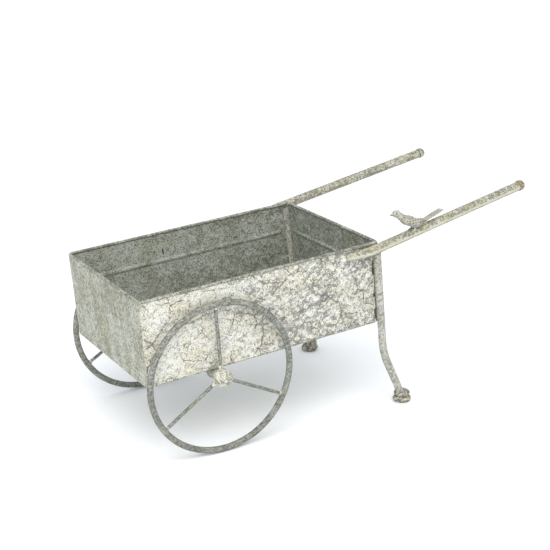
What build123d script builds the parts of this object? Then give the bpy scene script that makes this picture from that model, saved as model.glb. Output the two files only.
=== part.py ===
from build123d import *
from math import atan2, cos, radians, sin, sqrt, tan
import os

# Decorative two-wheeled garden barrow, millimetres and degrees.
# +X points to the rear, where the handles are, and +Z points up from the ground.
# The origin is the middle of the footprint at ground level.

# Tub: a sheet-metal box, pitched up towards the rear
sheet = 1.0
tub_length = 334.0
tub_depth = 111.0
tub_top_half = 113.0
tub_floor_half = 108.5
tub_pitch = 2.9
rim_bead_d = 4.6
rim_corner_r = 6.0
slot_width = 2.0
slot_length = 9.0
slot_below_mouth = 27.0
slot_from_front_left = 110.0
slot_from_front_right = 133.0

# Wheels and axle
wheel_radius = 100.0
wheel_tube_d = 8.6
wheel_wall_gap = 2.6
spoke_d = 4.6
spoke_count = 3
spoke_phase_left = 93.3
spoke_phase_right = 90.2
axle_d = 8.0
axle_setback = 95.0
axle_floor_gap = 3.4
running_clearance = 0.06
side_clearance = 0.3

# Hub, measured outwards from the plane of the spokes
washer_d = 14.4
washer_thickness = 1.2
washer_gap = 0.8
pin_d = 2.0
pin_end_gap = 1.5
axle_past_pin = 1.5
cap_axle_gap = 1.0
hub_wall = 4.0
hub_mouth_wall = 2.1
hub_ball_out = 3.5
hub_boss_d = 16.0
hub_boss_length = 2.5
hub_pocket_out = 1.5
spacer_wall = 2.25
bracket_inset = 10.0
bracket_thickness = 2.5
bracket_top_length = 34.0
bracket_boss_wall = 5.0

# Legs and feet
leg_d = 10.6
leg_bite = 1.7
leg_rear_inset = 4.0
leg_rake = 4.5
leg_top_drop = 7.0
leg_slit = 1.2
leg_knee_height = 75.0
leg_bend_radius = 110.0
foot_reach_left = 35.0
foot_reach_right = 25.0
foot_out = 3.2
foot_d = 24.6
foot_height = 15.0
foot_groove_height = 8.2
foot_groove_d = 19.0
foot_upper_d = 21.6
foot_shoulder = 2.3
foot_base_d = 17.5

# Stitch welds up each leg: the lower ones measured up from the floor sheet's underside,
# the upper ones measured down from the tub's mouth
weld_proud = 0.4
low_welds = [(1.0, 6.0), (20.0, 36.0)]
high_welds = [(68.0, 43.0), (23.0, 9.0)]

# Handles
handle_d = 12.8
handle_wall = 1.2
handle_rise = 11.2
handle_toe_in = 1.75
handle_reach = 230.0
handle_straight_ahead = 18.0
handle_front_ahead = 47.0
handle_rim_gap = 0.4
flat_height = 11.0
flat_thickness = 5.8
flat_bite = 0.6
cap_lip = 0.8
cap_rim = 3.0
cap_plug = 8.0

# Bird ornament on the left handle, as sections from the beak's tip to the tail's tip:
# along the bird, height of the middle, half width, half height
bird_behind_tub = 52.0
bird_body = [
    (-37.5, 22.8, 0.6, 0.7),
    (-33.6, 23.2, 1.9, 1.8),
    (-31.0, 23.2, 3.8, 3.6),
    (-26.5, 22.6, 5.2, 4.8),
    (-20.5, 18.2, 6.6, 4.8),
    (-13.5, 12.4, 8.6, 6.2),
    (-5.0, 8.4, 9.6, 7.6),
    (3.0, 6.6, 9.4, 7.0),
    (11.0, 5.6, 7.4, 4.4),
    (18.0, 6.2, 4.4, 2.0),
]
bird_tail = [
    (13.0, 6.0, 3.8, 1.8),
    (42.0, 14.2, 5.6, 1.4),
]

# Worked-out places
bead_r = rim_bead_d / 2
tube_r = wheel_tube_d / 2
axle_r = axle_d / 2
leg_r = leg_d / 2
handle_r = handle_d / 2
cap_r = handle_r + cap_lip
pocket_r = washer_d / 2 + washer_gap
mouth_r = pocket_r + hub_mouth_wall
boss_r = hub_boss_d / 2
ball_r = pocket_r + hub_wall
mouth_out = hub_ball_out + sqrt(ball_r**2 - mouth_r**2)
boss_root_out = hub_ball_out - sqrt(ball_r**2 - boss_r**2)
pin_out = hub_pocket_out + side_clearance + washer_thickness + pin_d / 2
axle_end_out = pin_out + pin_d / 2 + axle_past_pin
pitch = radians(tub_pitch)
rise = radians(handle_rise)
toe_in = radians(handle_toe_in)
flare = (tub_top_half - tub_floor_half) / (tub_depth - sheet)
wheel_plane_y = tub_top_half + wheel_wall_gap + tube_r
wheel_ring_r = wheel_radius - tube_r

# Lengths along X from the axle set the origin at the middle of the whole object
rim_from_axle = -axle_setback + sheet / 2 * cos(pitch) - tub_depth * sin(pitch) - bead_r
rear_from_axle = -axle_setback + tub_length * cos(pitch) - tub_depth * sin(pitch)
end_from_axle = rear_from_axle + (handle_reach + cap_rim) * cos(rise) * cos(toe_in) + cap_r
axle_x = -(min(rim_from_axle, -wheel_radius) + end_from_axle) / 2

# The tub's own frame: X along the floor, Y across, Z square to the floor
floor_front_z = wheel_radius + axle_r + axle_floor_gap - axle_setback * tan(pitch)
tub = Plane(
    origin=(axle_x - axle_setback, 0, floor_front_z),
    x_dir=(cos(pitch), 0, sin(pitch)),
    z_dir=(-sin(pitch), 0, cos(pitch)),
)


def tub_point(along, across, up):
    """A point in the tub's own frame, as a point of the whole object."""
    return tub.from_local_coords(Vector(along, across, up))


def wall_half(up):
    """Half the width over the side walls at a height above the floor."""
    return tub_floor_half + (up - sheet) * flare


def across_tub(along):
    """A plane across the tub, with Y of the sketch square to the floor."""
    return Plane(origin=tub_point(along, 0, 0), x_dir=(0, 1, 0), z_dir=tub.x_dir)


def wheel_frame(side, angle=0):
    """A plane through the axle, with Y of the sketch pointing outwards."""
    out = Vector(0, side, 0)
    spoke = Vector(cos(radians(angle)), 0, sin(radians(angle)))
    centre = Vector(axle_x, side * wheel_plane_y, wheel_radius)
    return Plane(origin=centre, x_dir=spoke, z_dir=spoke.cross(out))


def handle_point(side, along):
    """A point on a handle's centre line, measured back from the tub's rear corner."""
    corner = tub_point(tub_length, 0, tub_depth)
    half = tub_top_half - sheet / 2 + bead_r + handle_rim_gap + handle_r
    start = Vector(corner.X, side * half, corner.Z + bead_r - handle_r)
    return start + handle_direction(side) * along


def handle_direction(side):
    """The way a handle points, up and slightly inwards."""
    return Vector(cos(rise) * cos(toe_in), -side * cos(rise) * sin(toe_in), sin(rise))


def leg_point(side, up):
    """A point on the straight upper run of a leg, at a height above the floor sheet."""
    along = tub_length - leg_rear_inset + leg_rake * (1 - up / tub_depth)
    return tub_point(along, side * (wall_half(up) + leg_r - leg_bite), up)


def leg_knee(side):
    """Where the two straight runs of a leg would meet."""
    top = leg_point(side, tub_depth)
    low = leg_point(side, 0)
    share = (top.Z - leg_knee_height) / (top.Z - low.Z)
    return Vector(top.X + (low.X - top.X) * share, side * foot_half_track(), leg_knee_height)


def foot_half_track():
    """Distance of each foot from the middle plane."""
    return tub_floor_half + foot_out


def foot_axis(side, height):
    """A point on a foot's upright axis."""
    rear_x = tub_point(tub_length, 0, 0).X
    foot_reach = foot_reach_left if side < 0 else foot_reach_right
    return Vector(rear_x + foot_reach, side * foot_half_track(), height)


def save(piece, node):
    """Names a finished piece and writes it."""
    piece.part.label = node
    export_step(piece.part, f"parts/{node}.step")


def make_rim_bead():
    """The rolled bead round the tub's mouth."""
    half = wall_half(tub_depth) - sheet / 2
    front = sheet / 2
    rear = tub_length - sheet / 2
    corners = [(front, -half), (rear, -half), (rear, half), (front, half)]
    with BuildPart() as rim_bead:
        with BuildLine(tub.offset(tub_depth)) as path:
            FilletPolyline(*corners, radius=rim_corner_r, close=True)
        with BuildSketch(Plane(origin=path.line @ 0, z_dir=path.line % 0)):
            Circle(bead_r)
        sweep(path=path.wire())
    return rim_bead


def make_handle_outside(side):
    """A handle's outer shape: a round tube whose front end is pressed flat on the wall."""
    aim = handle_direction(side)
    straight = handle_point(side, -handle_straight_ahead)
    front_along = -handle_front_ahead / cos(rise)
    front = handle_point(side, front_along)
    up = tub.to_local_coords(front).Z
    front_y = side * (wall_half(up) + flat_thickness / 2 - flat_bite)
    pressed = Vector(front.X, front_y, front.Z)
    with BuildPart() as outside:
        with BuildSketch(Plane(origin=straight, x_dir=aim.cross(Vector(0, 1, 0)), z_dir=aim)):
            Circle(handle_r)
        with BuildSketch(Plane(origin=pressed, x_dir=tub.z_dir, z_dir=tub.x_dir)):
            Ellipse(flat_height / 2, flat_thickness / 2)
        loft()
        with BuildSketch(across_tub(0)):
            with BuildLine():
                Polyline(
                    (0, 0),
                    (side * wall_half(0), 0),
                    (side * wall_half(2 * tub_depth), 2 * tub_depth),
                    (0, 2 * tub_depth),
                    close=True,
                )
            make_face()
        extrude(amount=tub_length - handle_straight_ahead, mode=Mode.SUBTRACT)
        with BuildSketch(Plane(origin=straight, z_dir=aim)):
            Circle(handle_r)
        extrude(amount=handle_straight_ahead + handle_reach)
    return outside


def make_handle(side, outside):
    """A handle tube, hollow from its open rear end to the start of its flat."""
    rear_end = handle_point(side, handle_reach)
    with BuildPart() as handle:
        add(outside.part)
        with BuildSketch(Plane(origin=rear_end, z_dir=handle_direction(side) * -1)):
            Circle(handle_r - handle_wall)
        extrude(amount=handle_straight_ahead + handle_reach, mode=Mode.SUBTRACT)
    return handle


def make_handle_cap(side):
    """The domed plug that closes a handle."""
    end = handle_point(side, handle_reach)
    aim = handle_direction(side)
    flat = Vector(0, 1, 0).cross(aim).normalized()
    with BuildPart() as handle_cap:
        with BuildSketch(Plane(origin=end, z_dir=aim * -1)):
            Circle(handle_r - handle_wall)
        extrude(amount=cap_plug)
        with BuildSketch(Plane(origin=end, z_dir=aim)):
            Circle(cap_r)
        extrude(amount=cap_rim)
        with BuildSketch(Plane(origin=end + aim * cap_rim, x_dir=aim.cross(flat), z_dir=flat)):
            with BuildLine():
                ThreePointArc((0, cap_r), (cap_r * sqrt(0.5), cap_r * sqrt(0.5)), (cap_r, 0))
                Polyline((cap_r, 0), (0, 0), (0, cap_r))
            make_face()
        revolve(axis=Axis(end, aim))
    return handle_cap


def make_floor(legs):
    """The floor sheet, notched round the legs."""
    with BuildPart() as floor_panel:
        with BuildSketch(tub):
            with Locations((tub_length / 2, 0)):
                Rectangle(tub_length, 2 * tub_floor_half)
        extrude(amount=sheet)
        for leg in legs:
            add(leg.part, mode=Mode.SUBTRACT)
    return floor_panel


def make_end_panel(along, cutters):
    """The front or the rear sheet, from its outer corner to outer corner."""
    with BuildPart() as end_panel:
        with BuildSketch(across_tub(along)):
            with BuildLine():
                Polyline(
                    (-wall_half(sheet), sheet),
                    (wall_half(sheet), sheet),
                    (wall_half(tub_depth), tub_depth),
                    (-wall_half(tub_depth), tub_depth),
                    close=True,
                )
            make_face()
        extrude(amount=sheet)
        for cutter in cutters:
            add(cutter.part, mode=Mode.SUBTRACT)
    return end_panel


def leg_edge(side):
    """The plane of a side sheet's rear edge, just ahead of the leg."""
    low = leg_point(side, 0)
    high = leg_point(side, tub_depth)
    run = Vector(high.X - low.X, 0, high.Z - low.Z).normalized()
    ahead = low - tub.x_dir * (leg_r + leg_slit)
    return Plane(origin=ahead, x_dir=(0, 1, 0), z_dir=Vector(0, 1, 0).cross(run))


def wall_section(side, low, high, proud=0):
    """A strip of side wall as a closed outline across the tub."""
    with BuildLine() as outline:
        Polyline(
            (side * (wall_half(low) - sheet), low),
            (side * (wall_half(low) + proud), low),
            (side * (wall_half(high) + proud), high),
            (side * (wall_half(high) - sheet), high),
            close=True,
        )
    return outline


def make_side_panel(side, slot_from_front, rim_bead):
    """A side sheet with its upright slot, from the front sheet back to the leg."""
    with BuildPart() as side_panel:
        with BuildSketch(across_tub(sheet)):
            with BuildLine():
                add(wall_section(side, sheet, tub_depth).line)
            make_face()
        extrude(amount=tub_length)
        split(bisect_by=leg_edge(side), keep=Keep.BOTTOM)
        add(rim_bead.part, mode=Mode.SUBTRACT)
        slot = tub_point(slot_from_front, 0, tub_depth - slot_below_mouth)
        with BuildSketch(Plane(origin=slot, x_dir=tub.x_dir, z_dir=(0, side, 0))):
            SlotOverall(slot_length, slot_width, rotation=90)
        extrude(amount=2 * tub_top_half, mode=Mode.SUBTRACT)
    return side_panel


def make_leg(side):
    """A leg: straight up the tub's rear corner to the handle, and swept back to its foot."""
    top = leg_point(side, tub_depth - leg_top_drop)
    foot_top = foot_axis(side, foot_height / 2)
    with BuildPart() as leg:
        with BuildLine() as path:
            FilletPolyline(top, leg_knee(side), foot_top, radius=leg_bend_radius)
        with BuildSketch(Plane(origin=path.line @ 0, z_dir=path.line % 0)):
            Circle(leg_r)
        sweep(path=path.wire())
        under_handle = handle_point(side, -handle_straight_ahead)
        with BuildSketch(Plane(origin=under_handle, z_dir=handle_direction(side))):
            Circle(handle_r)
        extrude(amount=2 * handle_straight_ahead, mode=Mode.SUBTRACT)
    return leg


def make_foot(side):
    """A turned bun foot: a wide lower bead and a smaller upper one."""
    base = foot_axis(side, 0)
    groove = (foot_groove_d / 2, foot_groove_height)
    upper_middle = (foot_groove_height + foot_height) / 2
    top_r = leg_r + foot_shoulder
    with BuildPart() as foot:
        with BuildSketch(Plane(origin=base, x_dir=(1, 0, 0), z_dir=(0, -1, 0))):
            with BuildLine():
                Line((0, 0), (foot_base_d / 2, 0))
                ThreePointArc((foot_base_d / 2, 0), (foot_d / 2, foot_groove_height / 2), groove)
                ThreePointArc(groove, (foot_upper_d / 2, upper_middle), (top_r, foot_height))
                Polyline((top_r, foot_height), (0, foot_height), (0, 0))
            make_face()
        revolve(axis=Axis(base, (0, 0, 1)))
    return foot


def make_leg_welds(side, leg):
    """The stitch welds that fill parts of the slit between a side sheet and its leg."""
    spans = low_welds + [(tub_depth - deep, tub_depth - shallow) for deep, shallow in high_welds]
    with BuildPart() as leg_welds:
        for low, high in spans:
            with BuildSketch(across_tub(tub_length - leg_rear_inset - 4 * leg_r)):
                with BuildLine():
                    add(wall_section(side, low, high, weld_proud).line)
                make_face()
            extrude(amount=4 * leg_r)
        split(bisect_by=leg_edge(side), keep=Keep.TOP)
        add(leg.part, mode=Mode.SUBTRACT)
    return leg_welds


def make_axle():
    """The fixed axle, cross-drilled at each end for its pin."""
    half = wheel_plane_y + axle_end_out
    with BuildPart() as axle:
        with BuildSketch(Plane(origin=(axle_x, -half, wheel_radius), z_dir=(0, 1, 0))):
            Circle(axle_r)
        extrude(amount=2 * half)
        for side in (-1, 1):
            pin_y = side * (wheel_plane_y + pin_out)
            with BuildSketch(Plane(origin=(axle_x, pin_y, wheel_radius), z_dir=(0, 0, 1))):
                Circle(pin_d / 2)
            extrude(amount=axle_d, both=True, mode=Mode.SUBTRACT)
    return axle


def make_axle_pin(side):
    """The pin through the end of the axle."""
    half_length = pocket_r - pin_end_gap
    with BuildPart() as axle_pin:
        with BuildSketch(Plane.XY.offset(wheel_radius - half_length)):
            with Locations((axle_x, side * (wheel_plane_y + pin_out))):
                Circle(pin_d / 2)
        extrude(amount=2 * half_length)
    return axle_pin


def make_collar(side, inner_y, length, outer_d):
    """A ring on the axle, from its inner face outwards."""
    with BuildPart() as collar:
        with BuildSketch(Plane(origin=(axle_x, side * inner_y, wheel_radius), z_dir=(0, side, 0))):
            Circle(outer_d / 2)
            Circle(axle_r, mode=Mode.SUBTRACT)
        extrude(amount=length)
    return collar


def make_bracket(side):
    """A hanger plate under the floor that holds the axle."""
    eye_r = axle_r + bracket_boss_wall
    half_top = bracket_top_length / 2
    over_axle = axle_r + axle_floor_gap + half_top * tan(pitch)
    centre = Vector(axle_x, side * bracket_y(), wheel_radius)
    with BuildPart() as bracket:
        with BuildSketch(Plane(origin=centre, x_dir=(-side, 0, 0), z_dir=(0, side, 0))):
            Circle(eye_r)
            with BuildLine():
                Polyline(
                    (-eye_r, 0),
                    (eye_r, 0),
                    (half_top, over_axle),
                    (-half_top, over_axle),
                    close=True,
                )
            make_face()
            Circle(axle_r, mode=Mode.SUBTRACT)
        extrude(amount=bracket_thickness)
        split(bisect_by=tub, keep=Keep.BOTTOM)
    return bracket


def bracket_y():
    """Distance of each axle bracket's inner face from the middle plane."""
    return tub_floor_half - bracket_inset - bracket_thickness


def make_wheel_rim(side):
    """A wheel's rim, a ring of round tube."""
    frame = wheel_frame(side)
    with BuildPart() as wheel_rim:
        with BuildSketch(frame):
            with Locations((wheel_ring_r, 0)):
                Circle(tube_r)
        revolve(axis=Axis(frame.origin, frame.y_dir))
    return wheel_rim


def make_hub(side):
    """A ball-shaped hub with a bore for the axle and a pocket for the washer and pin."""
    frame = wheel_frame(side)
    bore_r = axle_r + running_clearance
    with BuildPart() as hub:
        with BuildSketch(frame):
            with BuildLine():
                Polyline(
                    (bore_r, boss_root_out - hub_boss_length),
                    (boss_r, boss_root_out - hub_boss_length),
                    (boss_r, boss_root_out),
                )
                ThreePointArc((boss_r, boss_root_out), (ball_r, hub_ball_out), (mouth_r, mouth_out))
                Polyline(
                    (mouth_r, mouth_out),
                    (pocket_r, mouth_out),
                    (pocket_r, hub_pocket_out),
                    (bore_r, hub_pocket_out),
                    (bore_r, boss_root_out - hub_boss_length),
                )
            make_face()
        revolve(axis=Axis(frame.origin, frame.y_dir))
    return hub


def make_hub_cap(side):
    """The domed cap pressed into a hub's pocket, short of the axle's end."""
    frame = wheel_frame(side)
    middle = atan2(mouth_r, mouth_out - hub_ball_out) / 2
    with BuildPart() as hub_cap:
        with BuildSketch(frame):
            with BuildLine():
                Polyline(
                    (0, hub_ball_out + ball_r),
                    (0, axle_end_out + cap_axle_gap),
                    (pocket_r, axle_end_out + cap_axle_gap),
                    (pocket_r, mouth_out),
                    (mouth_r, mouth_out),
                )
                ThreePointArc(
                    (mouth_r, mouth_out),
                    (ball_r * sin(middle), hub_ball_out + ball_r * cos(middle)),
                    (0, hub_ball_out + ball_r),
                )
            make_face()
        revolve(axis=Axis(frame.origin, frame.y_dir))
    return hub_cap


def make_spoke(side, angle, hub, wheel_rim):
    """A round spoke, coped onto the hub and the rim."""
    frame = wheel_frame(side, angle)
    with BuildPart() as spoke:
        with BuildSketch(Plane(origin=frame.origin + frame.x_dir * (ball_r / 2), z_dir=frame.x_dir)):
            Circle(spoke_d / 2)
        extrude(amount=wheel_ring_r - ball_r / 2)
        add(hub.part, mode=Mode.SUBTRACT)
        add(wheel_rim.part, mode=Mode.SUBTRACT)
        keep_outer_solid(spoke, frame)
    return spoke


def keep_outer_solid(spoke, frame):
    """Drops the scrap left inside the hub's pocket."""
    solids = spoke.part.solids().sort_by(Axis(frame.origin, frame.x_dir))
    for scrap in solids[:-1]:
        add(scrap, mode=Mode.SUBTRACT)


def make_bird(outside):
    """A small bird perched on the left handle, facing the tub."""
    perch = handle_point(-1, bird_behind_tub)
    crown = perch.Z + handle_r / cos(rise)
    with BuildPart() as bird:
        for sections in (bird_body, bird_tail):
            for along, height, half_width, half_height in sections:
                middle = Vector(perch.X + along, perch.Y, crown + height)
                with BuildSketch(Plane(origin=middle, x_dir=(0, 1, 0), z_dir=(1, 0, 0))):
                    Ellipse(half_width, half_height)
            loft()
        add(outside.part, mode=Mode.SUBTRACT)
    return bird


def build_side(side, name, slot_from_front, spoke_phase, rim_bead):
    """Makes and writes every piece of one side, and returns its leg and handle shape."""
    outside = make_handle_outside(side)
    leg = make_leg(side)
    foot = make_foot(side)
    with BuildPart() as trimmed_leg:
        add(leg.part)
        add(foot.part, mode=Mode.SUBTRACT)
    save(make_handle(side, outside), f"handle_{name}")
    save(make_handle_cap(side), f"handle_cap_{name}")
    save(make_side_panel(side, slot_from_front, rim_bead), f"side_panel_{name}")
    save(trimmed_leg, f"leg_{name}")
    save(foot, f"foot_{name}")
    save(make_leg_welds(side, leg), f"leg_welds_{name}")

    bracket_face = bracket_y() + bracket_thickness
    hub_face = wheel_plane_y + boss_root_out - hub_boss_length - side_clearance
    washer_face = wheel_plane_y + hub_pocket_out + side_clearance
    save(make_bracket(side), f"axle_bracket_{name}")
    spacer_d = axle_d + 2 * spacer_wall
    save(make_collar(side, bracket_face, hub_face - bracket_face, spacer_d), f"axle_spacer_{name}")
    save(make_collar(side, washer_face, washer_thickness, washer_d), f"axle_washer_{name}")
    save(make_axle_pin(side), f"axle_pin_{name}")

    wheel_rim = make_wheel_rim(side)
    hub = make_hub(side)
    save(wheel_rim, f"wheel_rim_{name}")
    save(hub, f"hub_{name}")
    save(make_hub_cap(side), f"hub_cap_{name}")
    for number in range(spoke_count):
        angle = spoke_phase + number * 360 / spoke_count
        save(make_spoke(side, angle, hub, wheel_rim), f"spoke_{name}_{number + 1}")
    return leg, outside


os.makedirs("parts", exist_ok=True)
rim_bead = make_rim_bead()
save(rim_bead, "rim_bead")
left_leg, left_outside = build_side(-1, "left", slot_from_front_left, spoke_phase_left, rim_bead)
right_leg, right_outside = build_side(1, "right", slot_from_front_right, spoke_phase_right, rim_bead)
save(make_floor([left_leg, right_leg]), "floor_panel")
save(make_end_panel(0, [rim_bead]), "front_panel")
save(make_end_panel(tub_length - sheet, [rim_bead, left_leg, right_leg]), "rear_panel")
save(make_axle(), "axle")
save(make_bird(left_outside), "bird")
print(f"axle at x = {axle_x:.3f}, wheels at y = {wheel_plane_y:.3f}, floor edge at z = {floor_front_z:.3f}")
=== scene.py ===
"""A decorative two-wheeled garden barrow in worn whitewashed sheet metal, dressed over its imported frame.

Lengths are millimetres until a mesh is written, which turns them into metres. +X points to the
rear, where the handles are, and +Z points up from the ground.
"""

import logging
import math
from dataclasses import dataclass
from enum import Enum

import bmesh
import bpy
import numpy as np
from mathutils import Matrix, Vector


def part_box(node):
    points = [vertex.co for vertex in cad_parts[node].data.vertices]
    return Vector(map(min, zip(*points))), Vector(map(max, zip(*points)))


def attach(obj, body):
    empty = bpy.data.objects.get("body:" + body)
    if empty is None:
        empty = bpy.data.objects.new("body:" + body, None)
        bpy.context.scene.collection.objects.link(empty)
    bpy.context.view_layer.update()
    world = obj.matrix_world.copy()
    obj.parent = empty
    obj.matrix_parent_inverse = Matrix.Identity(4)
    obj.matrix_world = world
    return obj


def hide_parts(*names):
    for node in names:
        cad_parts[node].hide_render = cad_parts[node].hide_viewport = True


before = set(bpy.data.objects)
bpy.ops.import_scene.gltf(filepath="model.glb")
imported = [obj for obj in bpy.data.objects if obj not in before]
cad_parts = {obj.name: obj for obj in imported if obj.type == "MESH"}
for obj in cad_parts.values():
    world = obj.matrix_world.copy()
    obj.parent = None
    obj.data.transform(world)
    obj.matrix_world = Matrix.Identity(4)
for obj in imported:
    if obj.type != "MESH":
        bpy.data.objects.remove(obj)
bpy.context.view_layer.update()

LOG = logging.getLogger("barrow")
METRES = 0.001
SIDES = {"left": -1, "right": 1}
X_AXIS, Y_AXIS, Z_AXIS = np.eye(3)
HASH_STEPS = (374761393, 668265263, 2147483647)
HASH_SEED_STEP = 974634777
HASH_MIX = 1274126177
LOW_BITS = np.uint64(0xFFFFFFFF)
LAYER_SHIFT = 31.7
LAYER_SEED_STEP = 17
LAYER_WEIGHT = 0.55
RUST_BROWN = (122, 104, 78)
PAINT_ROUGHNESS = 0.86
METAL_ROUGHNESS = 0.55
SPECULAR = 0.32
TUB_PITCH = 2.9
SPOKE_PHASES = {"left": 93.3, "right": 90.2}

Triple = tuple[float, float, float]
Colour = Triple
Shape = tuple[np.ndarray, list[list[int]]]
Piece = bpy.types.Object
Socket = bpy.types.NodeSocket


# ---------------------------------------------------------------- random fields


def lattice(cells: np.ndarray, seed: int) -> np.ndarray:
    """Gives every whole-number cell its own steady random number.

    Args:
        cells: Cell indices, one row of three per point.
        seed: Picks one of many unrelated fields.

    Returns:
        One number from 0 to 1 per row.
    """
    whole = cells.astype(np.int64).astype(np.uint64)
    mixed = sum(whole[:, axis] * np.uint64(HASH_STEPS[axis]) for axis in range(3))
    mixed = mixed + np.uint64(seed * HASH_SEED_STEP)
    mixed = (mixed ^ (mixed >> np.uint64(13))) & LOW_BITS
    mixed = (mixed * np.uint64(HASH_MIX)) & LOW_BITS
    mixed = mixed ^ (mixed >> np.uint64(16))
    return mixed.astype(float) / float(LOW_BITS)


def hills(points: np.ndarray, cell: float, seed: int, octaves: int = 1) -> np.ndarray:
    """Soft random hills and hollows.

    Args:
        points: Places, one row of three per point.
        cell: Size of the largest hills.
        seed: Picks one of many unrelated fields.
        octaves: How many ever finer layers are added up.

    Returns:
        One height from -1 to 1 per point.
    """
    total = np.zeros(len(points))
    weight = 1.0
    weights = 0.0
    for layer in range(octaves):
        place = points / (cell / 2**layer) + LAYER_SHIFT * layer
        base = np.floor(place)
        inside = place - base
        inside = inside * inside * (3 - 2 * inside)
        height = np.zeros(len(points))
        for corner in range(8):
            step = np.array([corner >> axis & 1 for axis in range(3)])
            share = np.prod(np.where(step, inside, 1 - inside), axis=1)
            height += share * lattice(base + step, seed + LAYER_SEED_STEP * layer)
        total += weight * (2 * height - 1)
        weights += weight
        weight *= LAYER_WEIGHT
    return total / weights


def crack_distance(points: np.ndarray, cell: float, seed: int) -> np.ndarray:
    """Distance to the nearest crack between random cells.

    Args:
        points: Places, one row of three per point.
        cell: Size of a cell between cracks.
        seed: Picks one of many unrelated fields.

    Returns:
        One distance per point, 0 on a crack and about 1 in the middle of a cell.
    """
    place = points / cell
    base = np.floor(place)
    nearest = np.full(len(points), 9.0)
    second = np.full(len(points), 9.0)
    for number in range(27):
        step = np.array([number // 9 - 1, number // 3 % 3 - 1, number % 3 - 1])
        home = base + step
        jitter = np.stack([lattice(home, seed + 101 * axis) for axis in range(3)], axis=1)
        gap = np.linalg.norm(place - home - jitter, axis=1)
        second = np.minimum(second, np.maximum(nearest, gap))
        nearest = np.minimum(nearest, gap)
    return second - nearest


def ramp(values: np.ndarray, low: float, high: float) -> np.ndarray:
    """Smooth step from 0 at low to 1 at high."""
    share = np.clip((values - low) / (high - low), 0, 1)
    return share * share * (3 - 2 * share)


def hump(offsets: np.ndarray, width: float) -> np.ndarray:
    """A smooth hump, 1 at no offset and almost 0 from twice its width."""
    return np.exp(-((offsets / width) ** 2))


def turns_apart(turns: np.ndarray, middle: float) -> np.ndarray:
    """Angle from a middle one to each turn, never more than half a turn either way."""
    return np.angle(np.exp(1j * (turns - middle)))


def full_turn(count: int) -> np.ndarray:
    """Evenly spaced angles once round."""
    return np.linspace(0, math.tau, count, endpoint=False)


def round_tip(count: int, first: float, length: float, least: float = 0.0) -> np.ndarray:
    """Shares of a radius that close the start of a swept bar in a round tip.

    Args:
        count: Number of outlines along the bar.
        first: Place of the first outline on the tip, in outlines.
        length: Length of the tip, in outlines.
        least: Where on the tip's curve the first outline is cut off, from 0 to 1.

    Returns:
        One share per outline, 1 from the end of the tip on.
    """
    return np.sin(np.clip((np.arange(count) + first) / length, least, 1) * math.pi / 2)


def middles(lines: np.ndarray) -> np.ndarray:
    """Middles of the cells between grid lines."""
    return (lines[:-1] + lines[1:]) / 2


# ---------------------------------------------------------------- surface relief


@dataclass(frozen=True)
class Relief:
    """Pattern pressed or cast into a surface, always cut inwards from it.

    Attributes:
        depth: Deepest cut.
        crack_cell: Size of the plates between the main cracks.
        crack_width: Width of a crack, as a share of a plate.
        crack_share: How much of the depth the cracks take, from 0 to 1.
        grain_cell: Size of the fine lumps between the cracks.
        stretch: How much shorter the pattern runs along X, Y and Z.
        seed: Picks the pattern.
        calm_share: How much of the depth is left where the surface is calmest.
        calm_from: Place along X where it is calmest.
        calm_to: Place along X from which the pattern has its full depth.
    """

    depth: float
    crack_cell: float = 13.0
    crack_width: float = 0.16
    crack_share: float = 0.55
    grain_cell: float = 2.4
    stretch: Triple = (1.0, 1.0, 1.0)
    seed: int = 1
    calm_share: float = 1.0
    calm_from: float = -1.0
    calm_to: float = 1.0

    def heights(self, points: np.ndarray) -> np.ndarray:
        """Works out the pattern.

        Args:
            points: Places, one row of three per point.

        Returns:
            One height per point, 1 at the surface and 0 at the deepest cut.
        """
        place = points * np.array(self.stretch)
        drift = [hills(place, self.crack_cell * 0.8, self.seed + 3 * axis, 2) for axis in range(3)]
        bent = place + np.stack(drift, axis=1) * self.crack_cell * 0.4
        wide = ramp(crack_distance(bent, self.crack_cell, self.seed), 0.0, self.crack_width)
        fine = crack_distance(bent, self.crack_cell * 0.4, self.seed + 7)
        narrow = ramp(fine, 0.0, self.crack_width * 1.6)
        calm = ramp(hills(points, self.crack_cell * 2.6, self.seed + 11), -0.35, 0.3)
        cracks = 1 - (1 - 0.6 * wide - 0.4 * narrow) * (0.35 + 0.65 * calm)
        grain = 0.5 + 0.5 * hills(points, self.grain_cell, self.seed + 5, 2)
        grain = ramp(grain, 0.15, 0.85)
        height = self.crack_share * cracks + (1 - self.crack_share) * grain
        busy = ramp(points[:, 0], self.calm_from, self.calm_to)
        strength = self.calm_share + (1 - self.calm_share) * busy
        return 1 - (1 - height) * strength

    def press(self, piece: Piece, rubbed: np.ndarray | float = 0.0) -> None:
        """Cuts the pattern into a piece and keeps each height for its paint.

        Args:
            piece: The piece, at its place.
            rubbed: For each point, how bare of pattern it is, from 0 to 1.
        """
        points, normals = read_surface(piece)
        height = self.heights(points)
        height += (1 - height) * rubbed
        cut = normals * ((1 - height) * self.depth)[:, None]
        write_surface(piece, points - cut, height + 0.5 * rubbed)


def read_surface(piece: Piece) -> tuple[np.ndarray, np.ndarray]:
    """Reads where a piece's points are and which way they face.

    Args:
        piece: The piece, at its place.

    Returns:
        Its points in millimetres and its normals, one row of three each.
    """
    mesh = piece.data
    places = np.zeros(len(mesh.vertices) * 3)
    normals = np.zeros(len(mesh.vertices) * 3)
    mesh.vertices.foreach_get("co", places)
    mesh.vertex_normals.foreach_get("vector", normals)
    return places.reshape(-1, 3) / METRES, normals.reshape(-1, 3)


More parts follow.
